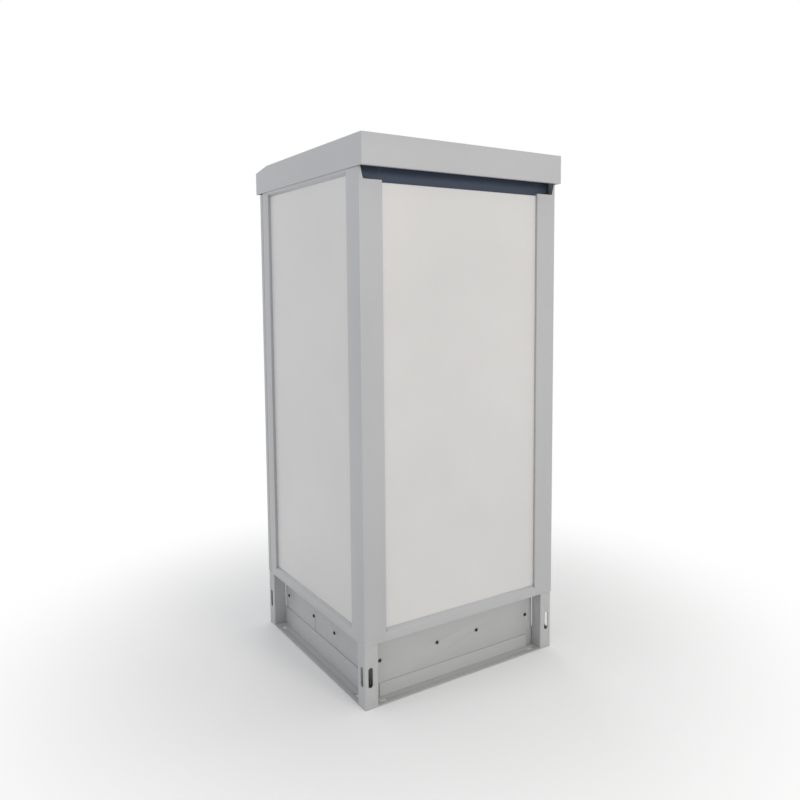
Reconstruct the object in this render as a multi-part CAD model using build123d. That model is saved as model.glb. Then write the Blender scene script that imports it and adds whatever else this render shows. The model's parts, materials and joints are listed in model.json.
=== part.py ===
from build123d import *
import math
import os

# Roadside utility cabinet: a folded sheet-metal body on a recessed plinth, under a roof hood.
# Origin at the middle of the footprint on the ground, +Z up, +Y to the rear, door on the -Y side.

# Overall sizes
body_width = 750.0
body_depth = 750.0
total_height = 1700.0
plinth_height = 200.0
roof_skirt = 91.0

# Sheets and folds
wall_sheet = 2.0
panel_sheet = 2.0
roof_sheet = 2.0
plinth_sheet = 3.0
fold_radius = 3.0

# Plinth
plinth_setback = 2.0
post_size = 46.0
post_slot_height = 63.0
post_slot_width = 16.0
post_slot_middle = 98.0
post_slot_inset = 20.0
ledge_depth = 46.5
rear_upstand = 45.0
side_upstand = 67.0
rear_upstand_width = 596.0
ledge_slot_length = 28.0
ledge_slot_width = 10.0
ledge_slot_inset = 21.0
rear_slot_spacing = 592.0
side_slot_spacing = 574.0
cover_sheet = 2.0
cover_gap = 0.5
seam_place = -72.0
seam_gap = 1.6
cover_bolt_level = 117.0
cover_bolt_places = (-295.0, -80.0, 80.0, 295.0)
cover_bolt_radius = 3.0
cover_head_radius = 5.5
cover_head_height = 3.0
cover_nut_height = 5.0
post_cap = 4.0
gusset_reach = 45.0
gusset_neck = 16.0
joining_bolt_inset = 70.0
joining_bolt_radius = 5.0
joining_head_radius = 9.0
joining_head_height = 7.0

# Windows in the walls, with lighter panels set back in them
rear_stile = 78.0
side_stile = 77.0
bottom_rail = 29.0
top_rail = 8.0
panel_recess = 9.0
panel_overlap = 14.0
panel_flange = 12.0
mitre_relief = 2.0

# Rear ventilation gap under the roof
vent_gap = 35.0
vent_step = 5.0
vent_corner = 14.0
vent_slant = 8.0
vent_round = 6.0
corner_seam = 0.3
channel_recess = 30.0
channel_foot = 19.0
air_slot_width = 8.0
air_slot_height = 18.0
air_slot_pitch = 22.0
air_slot_count = 28
air_slot_lift = 17.0
mesh_sheet = 1.2

# Roof hood
roof_side_overhang = 3.5
roof_end_overhang = 24.5
roof_cant_depth = 105.0
roof_cant_drop = 15.0
roof_hem = 13.0
roof_edge_radius = 1.5
frame_rise = 51.0
header_rise = 31.0
bracket_width = 60.0
bracket_flange = 40.0
bracket_sheet = 3.0
bracket_place = 220.0

# Door opening in the front
door_flange = 22.0
door_edge_gap = 0.5
door_bottom_gap = 3.0
door_end_gap = 5.0
jamb_gap = 2.0
jamb_width = 18.0
sill_height = 25.0
header_height = 24.0
lip_reach = 10.0
door_rail = 62.0
door_stile = 75.0
gasket_width = 6.0
gasket_clearance = 0.3

# Intake louvres in the door
louvre_length = 220.0
louvre_slot = 7.0
louvre_pitch = 22.0
louvre_rows = 10
louvre_hood = 7.0
louvre_sheet = 1.5
louvre_lift = 85.0
louvre_middle_gap = 40.0
filter_thickness = 14.0
filter_margin = 20.0

# Hinges
hinge_levels = (380.0, 905.0, 1430.0)
hinge_offset = 6.0
knuckle_radius = 6.0
knuckle_height = 30.0
knuckle_gap = 0.3
hinge_pin_radius = 3.5
hinge_pin_clearance = 0.05
hinge_leaf = 3.0
frame_leaf_length = 45.0
door_leaf_length = 48.0

# Lock and pull grip
lock_inset = 40.0
lock_level = 1256.0
lock_base_width = 44.0
lock_base_bottom = 1000.0
lock_base_top = 1296.0
lock_plate = 6.0
lock_head_depth = 45.0
lock_head_bottom = 1194.0
cylinder_radius = 8.0
cylinder_clearance = 0.05
cylinder_proud = 2.0
key_slot_width = 2.2
key_slot_length = 10.0
key_slot_depth = 8.0
lock_case_width = 26.0
lock_case_height = 70.0
cam_radius = 13.0
cam_sheet = 3.3
cam_pin_radius = 2.5
cam_throw_radius = 10.0
cam_start_angle = 45.0
tail_size = 6.0
grip_width = 28.0
grip_thickness = 9.0
grip_pivot_reach = 28.0
grip_pivot_level = 1206.0
grip_bottom = 1003.0
grip_reach = 61.0
grip_knee_drop = 24.0
grip_edge_radius = 2.7
grip_bend = 25.0
grip_side_gap = 0.3
grip_pin_radius = 3.0
grip_pin_clearance = 0.05

# Locking rods
rod_width = 13.0
rod_thickness = 4.0
rod_gap = 3.0
rod_header_gap = 0.7
cam_gap = 0.9
case_gap = 0.3
rod_tip_gap = 3.0
slot_side_gap = 0.35
slot_level_gap = 0.45
guide_levels = (330.0, 700.0, 1080.0, 1500.0)
guide_height = 24.0
guide_clearance = 0.3
guide_wall = 2.7

# Floor and cable entry
floor_sheet = 3.0
floor_flange = 25.0
entry_width = 420.0
entry_depth = 170.0
entry_rim = 20.0
gland_pitch = 64.0
gland_count = 6
gland_thread_radius = 12.0
gland_hex = 17.0
gland_hex_height = 8.0
gland_dome_height = 18.0
gland_nut_height = 3.0
gland_clearance = 0.2

# Ceiling and fans
ceiling_sheet = 2.0
ceiling_rise = 3.0
ceiling_flange = 20.0
fan_size = 119.0
fan_depth = 38.0
fan_duct_radius = 56.0
fan_place = 130.0
fan_corner_radius = 6.0
fan_hub_radius = 20.0
fan_boss_height = 5.0
fan_running_gap = 1.0
fan_tip_gap = 2.0
fan_blade_count = 7
fan_blade_chord = 34.0
fan_blade_sheet = 2.5
fan_blade_pitch = 32.0
fan_shaft_radius = 2.0
fan_shaft_clearance = 0.05
fan_strut = 6.0
guard_wire = 1.6
guard_rings = (18.0, 32.0, 46.0, 58.0)

# Rack rails
rack_opening = 450.0
rack_face = 30.0
rack_web = 35.0
rack_sheet = 2.0
rack_setback = 270.0
rack_hole = 9.5
rack_hole_pitch = 44.45
rack_hole_inset = 7.5
rack_hole_start = 120.0
rack_hole_margin = 80.0

# Electrics
din_drop = 192.0
din_height = 35.0
din_depth = 7.5
din_sheet = 1.2
din_lip = 4.0
breaker_width = 17.6
breaker_height = 85.0
breaker_depth = 66.0
breaker_nose = 45.0
breaker_nose_depth = 10.0
breaker_spacing = 18.2
lever_radius = 9.0
lever_thickness = 5.6
lever_clearance = 0.3
lever_reach = 9.0
lever_setback = 5.4
lever_grip = 4.0
lever_angle = 40.0
earth_level = 330.0
earth_height = 25.0
earth_sheet = 5.0
earth_stud_count = 8
earth_stud_pitch = 44.0
earth_stud_radius = 4.0
earth_stud_length = 14.0
earth_nut_radius = 6.8
earth_nut_height = 6.4

# Planes and levels that several pieces share
half_width = body_width / 2
half_depth = body_depth / 2
roof_bottom = total_height - roof_skirt
roof_under = total_height - roof_sheet
frame_top = roof_bottom + frame_rise
header_top = roof_bottom + header_rise
sill_top = plinth_height + sill_height
header_bottom = roof_bottom - header_height
jamb_front = -half_depth + door_flange + jamb_gap
jamb_back = jamb_front + wall_sheet
jamb_outer = half_width - jamb_width
jamb_inner = jamb_outer - wall_sheet
web_inner_x = half_width - wall_sheet
web_inner_y = half_depth - wall_sheet
panel_face = panel_recess
channel_face = half_depth - channel_recess
channel_inner = channel_face - wall_sheet
door_half_width = half_width - door_edge_gap
door_bottom = plinth_height + door_bottom_gap
door_top = roof_bottom - door_end_gap
door_skin_inner = -half_depth + wall_sheet
lip_tip = jamb_front - lip_reach
ceiling_level = roof_bottom + ceiling_rise
lock_x = half_width - lock_inset
lock_skin = -half_depth
rod_front = jamb_back + rod_header_gap
rod_back = rod_front + rod_thickness
rail_top = ceiling_level
din_level = ceiling_level - din_drop
rail_bottom = plinth_height + floor_sheet


# Shared helpers

def block(x0, x1, y0, y1, z0, z1):
    """A box from its low and high sides."""
    middle = Pos((x0 + x1) / 2, (y0 + y1) / 2, (z0 + z1) / 2)
    return middle * Box(abs(x1 - x0), abs(y1 - y0), abs(z1 - z0))


def folded(points, thickness, radius, length, plane):
    """A sheet folded along a path on a plane, on the path's left, and pushed out along its normal."""
    path = FilletPolyline(*points, radius=radius)
    outline = make_face(offset(path, thickness, side=Side.LEFT).edges())
    return extrude(plane * outline, length)


def plate_outline(points, plane, length):
    """A closed outline on a plane, pushed out along its normal."""
    outline = make_face(Polyline(*points, close=True).edges())
    return extrude(plane * outline, length)


def rod_between(radius, x, z, y0, y1):
    """A round bar along Y."""
    return Pos(x, (y0 + y1) / 2, z) * Rot(90, 0, 0) * Cylinder(radius, abs(y1 - y0))


def upright(radius, x, y, z0, z1):
    """A round bar along Z."""
    return Pos(x, y, (z0 + z1) / 2) * Cylinder(radius, z1 - z0)


def crossbar(radius, y, z, x0, x1):
    """A round bar along X."""
    return Pos((x0 + x1) / 2, y, z) * Rot(0, 90, 0) * Cylinder(radius, x1 - x0)


def hexagon(across, x, y, z0, z1):
    """A hexagonal nut or head along Z, from the radius of its corners."""
    return Pos(x, y, z0) * extrude(RegularPolygon(across, 6), z1 - z0)


def slot_hole(place, length, width, turn, depth=20.0):
    """A cutter for a round-ended slot."""
    return place * turn * extrude(SlotOverall(length, width), depth / 2, both=True)


def window_edge(width, z0, z1, thickness, recess, relief):
    """The folded edges round a window whose wall's outer face is Y = 0, seen from -Y."""
    run = thickness / math.sqrt(2)
    low = [(0, z0), (recess, z0 + recess), (recess, z0 + recess - 2 * run),
           (thickness, z0 - thickness * (math.sqrt(2) - 1))]
    high = [(y, z0 + z1 - z) for y, z in low]
    half = width / 2
    bars = Pos(-half + relief, 0, 0) * plate_outline(low, Plane.YZ, width - 2 * relief)
    bars += Pos(-half + relief, 0, 0) * plate_outline(high, Plane.YZ, width - 2 * relief)
    for side in (-1, 1):
        bars += block(side * half, side * (half + thickness), 0, recess, z0, z1)
    return bars


def on_rear(shape):
    """From the window frame above to the rear wall."""
    return Pos(0, half_depth, 0) * Rot(0, 0, 180) * shape


def on_right(shape):
    """From the window frame above to the right wall."""
    return Pos(half_width, 0, 0) * Rot(0, 0, 90) * shape


def mirrored(shape):
    """The same piece for the left side."""
    return mirror(shape, about=Plane.YZ)


def tray(width, z0, z1, face, sheet, flange):
    """A flat panel with its four edges folded inwards, its outer face at Y = face."""
    outer = block(-width / 2, width / 2, face, face + flange, z0, z1)
    outer = fillet(outer.edges().group_by(Axis.Y)[0], fold_radius)
    inner = block(-width / 2 + sheet, width / 2 - sheet, face + sheet, face + flange + 1,
                  z0 + sheet, z1 - sheet)
    return outer - inner


# Plinth

def plinth_post(x_side, y_side):
    """One square-tube corner post with its top gusset and its upright slots."""
    outer_x = half_width - plinth_setback
    outer_y = half_depth - plinth_setback
    low_x = outer_x - post_size
    low_y = outer_y - post_size
    tube = block(low_x, outer_x, low_y, outer_y, plinth_sheet, plinth_height)
    tube = fillet(tube.edges().filter_by(Axis.Z), fold_radius)
    bore = block(low_x + plinth_sheet, outer_x - plinth_sheet, low_y + plinth_sheet,
                 outer_y - plinth_sheet, plinth_sheet, plinth_height - post_cap)
    post = tube - bore
    cap_low = plinth_height - post_cap
    cover_x = outer_x - ledge_depth - cover_sheet - cover_gap
    cover_y = outer_y - ledge_depth - cover_sheet - cover_gap
    neck_x = low_x - gusset_neck
    neck_y = low_y - gusset_neck
    post += block(neck_x, low_x + plinth_sheet, neck_y, low_y + plinth_sheet, cap_low,
                  plinth_height)
    post += block(low_x - gusset_reach, cover_x, low_y - gusset_reach, cover_y, cap_low,
                  plinth_height)
    bolt_x = half_width - joining_bolt_inset
    bolt_y = half_depth - joining_bolt_inset
    post -= upright(joining_bolt_radius, bolt_x, bolt_y, cap_low - 1, plinth_height + 1)
    rear_slot = Pos(outer_x - post_slot_inset, outer_y, post_slot_middle) * Rot(90, 0, 0)
    side_slot = Pos(outer_x, outer_y - post_slot_inset, post_slot_middle) * Rot(0, 90, 0)
    post -= slot_hole(rear_slot, post_slot_height, post_slot_width, Rot(0, 0, 90), post_size / 2)
    post -= slot_hole(side_slot, post_slot_height, post_slot_width, Rot(0, 0, 0), post_size / 2)
    if x_side < 0:
        post = mirror(post, about=Plane.YZ)
    if y_side < 0:
        post = mirror(post, about=Plane.XZ)
    return post


def plinth_ring():
    """The bottom ring: an outward ledge with slots, and upstands that hold the covers."""
    outer_x = half_width - plinth_setback
    outer_y = half_depth - plinth_setback
    inner_x = outer_x - ledge_depth
    inner_y = outer_y - ledge_depth
    ring = block(-outer_x, outer_x, -outer_y, outer_y, 0, plinth_sheet)
    ring -= block(-inner_x, inner_x, -inner_y, inner_y, -1, plinth_sheet + 1)
    post_y = outer_y - post_size - cover_gap
    half_upstand = rear_upstand_width / 2
    for side in (-1, 1):
        ring += block(-half_upstand, half_upstand, side * inner_y, side * (inner_y + plinth_sheet),
                      0, rear_upstand)
        ring += block(side * inner_x, side * (inner_x + plinth_sheet), -post_y, post_y,
                      0, side_upstand)
    for x_side in (-1, 1):
        for y_side in (-1, 1):
            rear = Pos(x_side * rear_slot_spacing / 2, y_side * (outer_y - ledge_slot_inset), 0)
            ring -= slot_hole(rear, ledge_slot_length, ledge_slot_width, Rot(0, 0, 0))
            flank = Pos(x_side * (outer_x - ledge_slot_inset), y_side * side_slot_spacing / 2, 0)
            ring -= slot_hole(flank, ledge_slot_length, ledge_slot_width, Rot(0, 0, 90))
    return ring


def bolt_holes(wall_y, places):
    """Cutters for the cover bolts through a cover whose face is at +Y."""
    holes = Part()
    for x in places:
        holes += rod_between(cover_bolt_radius, x, cover_bolt_level, wall_y - 10, wall_y + 10)
    return holes


def cover_bolt(x, wall_y):
    """One cover bolt with its nut behind the cover, its head towards +Y."""
    back = wall_y - cover_sheet
    head = rod_between(cover_head_radius, x, cover_bolt_level, wall_y, wall_y + cover_head_height)
    head = fillet(head.edges().group_by(Axis.Y)[-1], cover_head_height / 2)
    socket = Pos(x, wall_y + cover_head_height, cover_bolt_level) * Rot(90, 0, 0)
    head -= socket * extrude(RegularPolygon(cover_bolt_radius, 6), cover_head_height / 2, both=True)
    shank = rod_between(cover_bolt_radius, x, cover_bolt_level, back - cover_nut_height - 2, wall_y)
    nut = Pos(x, back, cover_bolt_level) * Rot(90, 0, 0)
    nut = nut * extrude(RegularPolygon(cover_head_radius, 6), cover_nut_height)
    return head + shank + nut


def plinth_covers():
    """The six cover plates behind the upstands, and their bolts."""
    face_x = half_width - plinth_setback - ledge_depth
    face_y = half_depth - plinth_setback - ledge_depth
    top = plinth_height - cover_gap
    low = plinth_sheet + cover_gap
    rear = block(-face_x + cover_sheet + cover_gap, face_x - cover_sheet - cover_gap,
                 face_y - cover_sheet, face_y, low, top)
    rear -= bolt_holes(face_y, cover_bolt_places)
    notch_x = half_width - plinth_setback - post_size - gusset_neck - cover_gap
    notch_y = half_depth - plinth_setback - post_size - gusset_neck - cover_gap
    notch_low = plinth_height - post_cap - cover_gap
    for side in (-1, 1):
        rear -= block(side * notch_x, side * half_width, face_y - 5, face_y + 5, notch_low, top + 1)
    pieces = {"plinth_cover_rear": rear, "plinth_cover_front": mirror(rear, about=Plane.XZ)}
    inner_x = face_x - cover_sheet
    front_half = block(inner_x, face_x, -face_y, seam_place - seam_gap / 2, low, top)
    rear_half = block(inner_x, face_x, seam_place + seam_gap / 2, face_y, low, top)
    side_holes = Rot(0, 0, -90) * bolt_holes(face_x, cover_bolt_places)
    front_half -= side_holes
    rear_half -= side_holes
    front_half -= block(inner_x - 5, face_x + 5, -half_depth, -notch_y, notch_low, top + 1)
    rear_half -= block(inner_x - 5, face_x + 5, notch_y, half_depth, notch_low, top + 1)
    pieces["plinth_cover_right_front"] = front_half
    pieces["plinth_cover_right_rear"] = rear_half
    pieces["plinth_cover_left_front"] = mirrored(front_half)
    pieces["plinth_cover_left_rear"] = mirrored(rear_half)
    bolts = Part()
    for x in cover_bolt_places:
        rear_bolt = cover_bolt(x, face_y)
        side_bolt = Rot(0, 0, -90) * cover_bolt(x, face_x)
        bolts += [rear_bolt, mirror(rear_bolt, about=Plane.XZ)]
        bolts += [side_bolt, mirrored(side_bolt)]
    pieces["plinth_cover_bolts"] = bolts
    return pieces


def joining_bolts():
    """Four bolts that hold the cabinet's floor to the plinth's gussets."""
    bolts = Part()
    under = plinth_height - post_cap
    above = plinth_height + floor_sheet
    for x_side in (-1, 1):
        for y_side in (-1, 1):
            x = x_side * (half_width - joining_bolt_inset)
            y = y_side * (half_depth - joining_bolt_inset)
            bolt = hexagon(joining_head_radius, x, y, above, above + joining_head_height)
            bolt += upright(joining_bolt_radius, x, y, under - joining_head_height - 3, above)
            bolt += hexagon(joining_head_radius, x, y, under - joining_head_height, under)
            bolts += bolt
    return bolts


def plinth():
    """Everything below the cabinet's floor."""
    pieces = {
        "plinth_post_rear_right": plinth_post(1, 1),
        "plinth_post_rear_left": plinth_post(-1, 1),
        "plinth_post_front_right": plinth_post(1, -1),
        "plinth_post_front_left": plinth_post(-1, -1),
        "plinth_ring": plinth_ring(),
        "joining_bolts": joining_bolts(),
    }
    pieces.update(plinth_covers())
    return pieces


# Shell

def side_frame():
    """The right side: a sheet from the jamb round the rear corner, and its upper corner plate."""
    inner = half_width - rear_stile
    path = [(jamb_outer, lip_tip), (jamb_outer, jamb_front), (half_width, jamb_front),
            (half_width, half_depth), (inner, half_depth), (inner, half_depth - panel_recess)]
    frame = folded(path, wall_sheet, fold_radius, frame_top - plinth_height, Plane.XY)
    frame = Pos(0, 0, plinth_height) * frame
    bend_end = jamb_outer + fold_radius
    frame -= block(jamb_inner - 1, bend_end, lip_tip - 1, jamb_front, plinth_height - 1,
                   sill_top - wall_sheet)
    frame -= block(jamb_inner - 1, bend_end, lip_tip - 1, jamb_front, header_bottom + wall_sheet,
                   frame_top + 1)
    frame -= block(inner - 1, inner + fold_radius, half_depth - panel_recess - 1, half_depth + 1,
                   plinth_height - 1, plinth_height + bottom_rail)
    edge = half_depth - side_stile
    window_low = plinth_height + bottom_rail
    window_high = roof_bottom - top_rail
    reach = panel_recess + wall_sheet
    frame -= block(half_width - reach, half_width + 1, -edge, edge, window_low, window_high)
    frame += on_right(window_edge(2 * edge, window_low, window_high, wall_sheet, panel_recess,
                                  mitre_relief))
    stile_top = roof_bottom - vent_gap
    corner = half_width - vent_corner
    high = half_width - vent_corner + vent_slant
    cut_path = [(inner - 1, stile_top), (corner, stile_top), (high, roof_bottom),
                (high, frame_top + 1), (inner - 1, frame_top + 1)]
    cut = plate_outline(cut_path, Plane.XZ, 2 * reach)
    foot = cut.edges().filter_by(Axis.Y).group_by(Axis.Z)[0].sort_by(Axis.X)[-1]
    frame -= Pos(0, half_depth + reach, 0) * fillet(foot, vent_round)
    frame += block(inner + wall_sheet, corner - 1, half_depth - panel_flange,
                   half_depth - wall_sheet, stile_top - wall_sheet, stile_top)
    fold = half_width - 2 * wall_sheet
    seam = corner_seam
    corner_plate = frame & block(inner - 1, fold - seam, half_depth - reach, half_depth + 1,
                                 stile_top + seam, frame_top + 1)
    frame -= block(inner - 1, fold, half_depth - reach, half_depth + 1, stile_top, frame_top + 1)
    return frame + corner_plate


def rear_bottom_rail():
    """The rail under the rear panel, with its bevelled top edge."""
    inner = half_width - rear_stile
    top = plinth_height + bottom_rail
    path = [(half_depth, plinth_height), (half_depth, top),
            (half_depth - panel_recess, top + panel_recess)]
    rail = folded(path, wall_sheet, fold_radius / 2, 2 * (inner - mitre_relief), Plane.YZ)
    rail = Pos(-inner + mitre_relief, 0, 0) * rail
    rail -= block(-inner, inner, half_depth - 2 * panel_recess, half_depth - panel_recess, top,
                  top + panel_recess + 1)
    end = inner + fold_radius
    for side in (-1, 1):
        rail += block(side * (inner - mitre_relief), side * end, web_inner_y, half_depth,
                      plinth_height, top)
    return rail


def rear_top_channel():
    """The cross-member set back under the roof at the rear, with its row of air slots."""
    low = roof_bottom - vent_gap - vent_step - panel_flange
    web = block(-web_inner_x, web_inner_x, channel_inner, channel_face, low, header_top)
    inner = half_width - rear_stile - wall_sheet
    foot_end = channel_face + channel_foot
    channel = web + block(-inner, inner, channel_inner, foot_end, low, low + wall_sheet)
    first = -(air_slot_count - 1) * air_slot_pitch / 2
    for i in range(air_slot_count):
        place = Pos(first + i * air_slot_pitch, channel_face, roof_bottom + air_slot_lift)
        channel -= slot_hole(place * Rot(90, 0, 0), air_slot_height, air_slot_width, Rot(0, 0, 90))
    return channel


def vent_mesh():
    """The insect mesh plate behind the air slots."""
    half = air_slot_count * air_slot_pitch / 2
    low = ceiling_level + ceiling_sheet
    sheet = block(-half, half, channel_inner - mesh_sheet, channel_inner, low, header_top)
    step = air_slot_pitch / 2
    columns = 2 * air_slot_count - 2
    for i in range(columns):
        x = -(columns - 1) * step / 2 + i * step
        sheet -= rod_between(air_slot_width / 4, x, roof_bottom + air_slot_lift,
                             channel_inner - 5, channel_inner + 5)
    return sheet


def front_bar(z0, z1, lip_level):
    """A straight bar across the front opening, with the lip that meets the door's gasket."""
    bar = block(-jamb_inner, jamb_inner, jamb_front, jamb_back, z0, z1)
    low = min(lip_level, lip_level + wall_sheet)
    return bar + block(-jamb_inner, jamb_inner, lip_tip, jamb_back, low, low + wall_sheet)


def shell():
    """The folded walls and the lighter panels in them."""
    frame = side_frame()
    rear_inner = half_width - rear_stile
    side_inner = half_depth - side_stile
    low = plinth_height + bottom_rail - panel_overlap / 2
    rear_top = roof_bottom - vent_gap - vent_step
    side_top = roof_bottom - top_rail + panel_overlap / 2
    rear_panel = tray(2 * (rear_inner + panel_overlap), low, rear_top, panel_face, panel_sheet,
                      panel_flange)
    side_panel = tray(2 * (side_inner + panel_overlap), low, side_top, panel_face, panel_sheet,
                      panel_flange)
    right_panel = on_right(side_panel)
    return {
        "side_frame_right": frame,
        "side_frame_left": mirrored(frame),
        "rear_bottom_rail": rear_bottom_rail(),
        "rear_top_channel": rear_top_channel(),
        "vent_mesh": vent_mesh(),
        "front_sill": front_bar(plinth_height, sill_top, sill_top - wall_sheet),
        "front_header": front_bar(header_bottom, header_top, header_bottom),
        "rear_panel": on_rear(rear_panel),
        "side_panel_right": right_panel,
        "side_panel_left": mirrored(right_panel),
    }


# Roof

def roof_hood():
    """The roof hood: one pan with deep skirts, an inward hem, and a canted front edge."""
    half_x = half_width + roof_side_overhang
    half_y = half_depth + roof_end_overhang
    cant = roof_cant_depth
    outer = [(-half_y, roof_bottom), (half_y, roof_bottom), (half_y, total_height),
             (-half_y + cant, total_height), (-half_y, total_height - roof_cant_drop)]
    pan = Pos(-half_x, 0, 0) * plate_outline(outer, Plane.YZ, 2 * half_x)
    pan = fillet(pan.edges().filter_by(Axis.Z), roof_edge_radius)
    t = roof_sheet
    inner = [(-half_y + t, roof_bottom - 1), (half_y - t, roof_bottom - 1), (half_y - t, roof_under),
             (-half_y + cant, roof_under), (-half_y + t, roof_under - roof_cant_drop)]
    pan -= Pos(-half_x + t, 0, 0) * plate_outline(inner, Plane.YZ, 2 * (half_x - t))
    for side in (-1, 1):
        pan += block(-half_x + t, half_x - t, side * (half_y - t), side * (half_y - roof_hem),
                     roof_bottom, roof_bottom + t)
    return pan


def roof_brackets():
    """Four angles from the side frames' tops to the underside of the roof."""
    group = Part()
    for side in (-1, 1):
        for y in (-bracket_place, bracket_place):
            y0 = y - bracket_width / 2
            y1 = y + bracket_width / 2
            web = block(side * web_inner_x, side * (web_inner_x - bracket_sheet), y0, y1,
                        header_top, roof_under)
            flange = block(side * web_inner_x, side * (web_inner_x - bracket_flange), y0, y1,
                           roof_under - bracket_sheet, roof_under)
            group += web + flange
    return group


# Floor and cable entry

def floor_pan():
    """The floor with upturned edges, the cable entry and the holes for the joining bolts."""
    back = web_inner_y
    top = plinth_height + floor_sheet
    pan = block(-web_inner_x, web_inner_x, jamb_back, back, plinth_height, top)
    pan = chamfer(pan.edges().filter_by(Axis.Z), fold_radius)
    flange_top = plinth_height + floor_flange
    inside = fold_radius
    for side in (-1, 1):
        pan += block(side * web_inner_x, side * (web_inner_x - floor_sheet), jamb_back + inside,
                     back - 2 * inside, plinth_height, flange_top)
    pan += block(-web_inner_x + inside, web_inner_x - inside, back - floor_sheet, back,
                 plinth_height, flange_top)
    half_x = entry_width / 2 - entry_rim
    half_y = entry_depth / 2 - entry_rim
    pan -= block(-half_x, half_x, -half_y, half_y, plinth_height - 1, top + 1)
    for x_side in (-1, 1):
        for y_side in (-1, 1):
            x = x_side * (half_width - joining_bolt_inset)
            y = y_side * (half_depth - joining_bolt_inset)
            pan -= upright(joining_bolt_radius, x, y, plinth_height - 1, top + 1)
    return pan


def cable_entry():
    """The gland plate over the floor's opening, and its blind glands."""
    low = plinth_height + floor_sheet
    high = low + floor_sheet
    plate = block(-entry_width / 2, entry_width / 2, -entry_depth / 2, entry_depth / 2, low, high)
    glands = Part()
    first = -(gland_count - 1) * gland_pitch / 2
    for i in range(gland_count):
        x = first + i * gland_pitch
        plate -= upright(gland_thread_radius + gland_clearance, x, 0, low - 1, high + 1)
        gland = upright(gland_thread_radius, x, 0, low - 2 * gland_nut_height, high)
        gland += hexagon(gland_hex, x, 0, low - gland_nut_height, low)
        gland += hexagon(gland_hex, x, 0, high, high + gland_hex_height)
        dome_low = high + gland_hex_height
        dome = Pos(x, 0, dome_low) * Cone(gland_thread_radius + 2, gland_thread_radius - 2,
                                          gland_dome_height,
                                          align=(Align.CENTER, Align.CENTER, Align.MIN))
        glands += gland + dome
    return {"floor_pan": floor_pan(), "gland_plate": plate, "cable_glands": glands}


# Ceiling and fans

def ceiling_tray():
    """The ceiling sheet that carries the fans, with upturned side edges."""
    top = ceiling_level + ceiling_sheet
    sheet = block(-web_inner_x, web_inner_x, jamb_back, channel_inner, ceiling_level, top)
    sheet = chamfer(sheet.edges().filter_by(Axis.Z), fold_radius)
    for side in (-1, 1):
        sheet += block(side * web_inner_x, side * (web_inner_x - ceiling_sheet),
                       jamb_back + fold_radius, channel_inner - fold_radius, ceiling_level,
                       ceiling_level + ceiling_flange)
    for x in (-fan_place, fan_place):
        sheet -= upright(fan_duct_radius, x, 0, ceiling_level - 1, top + 1)
    return sheet


def fan_frame(x):
    """A square axial fan's frame, its duct, struts and motor boss, hung under the ceiling."""
    low = ceiling_level - fan_depth
    half = fan_size / 2
    frame = block(x - half, x + half, -half, half, low, ceiling_level)
    frame = fillet(frame.edges().filter_by(Axis.Z), fan_corner_radius)
    frame -= upright(fan_duct_radius, x, 0, low - 1, ceiling_level + 1)
    boss_top = low + fan_boss_height
    frame += upright(fan_hub_radius, x, 0, low, boss_top)
    for i in range(3):
        strut = block(0, fan_duct_radius + 1, -fan_strut / 2, fan_strut / 2, low, boss_top)
        frame += Pos(x, 0, 0) * Rot(0, 0, 90 + i * 120) * strut
    frame -= upright(fan_shaft_radius + fan_shaft_clearance, x, 0, low + 1, boss_top + 1)
    return frame


def fan_rotor(x):
    """A hub with pitched blades on a short shaft."""
    low = ceiling_level - fan_depth + fan_boss_height + fan_running_gap
    high = ceiling_level - fan_running_gap
    rotor = upright(fan_hub_radius, x, 0, low, high)
    rotor = fillet(rotor.edges().group_by(Axis.Z)[-1], fan_running_gap * 2)
    rotor += upright(fan_shaft_radius, x, 0, low - fan_boss_height, low + 1)
    root = fan_hub_radius - 2
    tip = fan_duct_radius - fan_tip_gap
    middle = (low + high) / 2
    rise = (high - low) / 2 - fan_running_gap
    envelope = upright(tip, x, 0, middle - rise, middle + rise)
    for i in range(fan_blade_count):
        blade = block(root, tip + 2, -fan_blade_chord / 2, fan_blade_chord / 2,
                      -fan_blade_sheet / 2, fan_blade_sheet / 2)
        blade = Rot(fan_blade_pitch, 0, 0) * blade
        blade = Pos(x, 0, middle) * Rot(0, 0, i * 360 / fan_blade_count) * blade
        rotor += blade & envelope
    return rotor


def fan_guards():
    """A wire finger guard under each fan: rings on two cross wires."""
    group = Part()
    level = ceiling_level - fan_depth - guard_wire
    reach = guard_rings[-1]
    for x in (-fan_place, fan_place):
        guard = crossbar(guard_wire, 0, level, x - reach, x + reach)
        guard += rod_between(guard_wire, x, level, -reach, reach)
        for ring in guard_rings:
            guard += Pos(x, 0, level) * Torus(ring, guard_wire)
        group += guard
    return group


def ventilation():
    """The ceiling and what hangs from it."""
    return {
        "ceiling_tray": ceiling_tray(),
        "fan_frame_left": fan_frame(-fan_place),
        "fan_frame_right": fan_frame(fan_place),
        "fan_rotor_left": fan_rotor(-fan_place),
        "fan_rotor_right": fan_rotor(fan_place),
        "fan_guards": fan_guards(),
    }


# Rack rails

def rack_rail():
    """The front right rail: an angle with a column of square holes in its face."""
    inner = rack_opening / 2
    outer = inner + rack_face
    face = -rack_setback
    rail = block(inner, outer, face, face + rack_sheet, rail_bottom, rail_top)
    rail += block(outer - rack_sheet, outer, face, face + rack_web, rail_bottom, rail_top)
    x = inner + rack_hole_inset
    half = rack_hole / 2
    run = rail_top - rail_bottom - rack_hole_start - rack_hole_margin
    for i in range(int(run / rack_hole_pitch) + 1):
        z = rail_bottom + rack_hole_start + i * rack_hole_pitch
        rail -= block(x - half, x + half, face - 1, face + rack_sheet + 1, z - half, z + half)
    return rail


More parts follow.
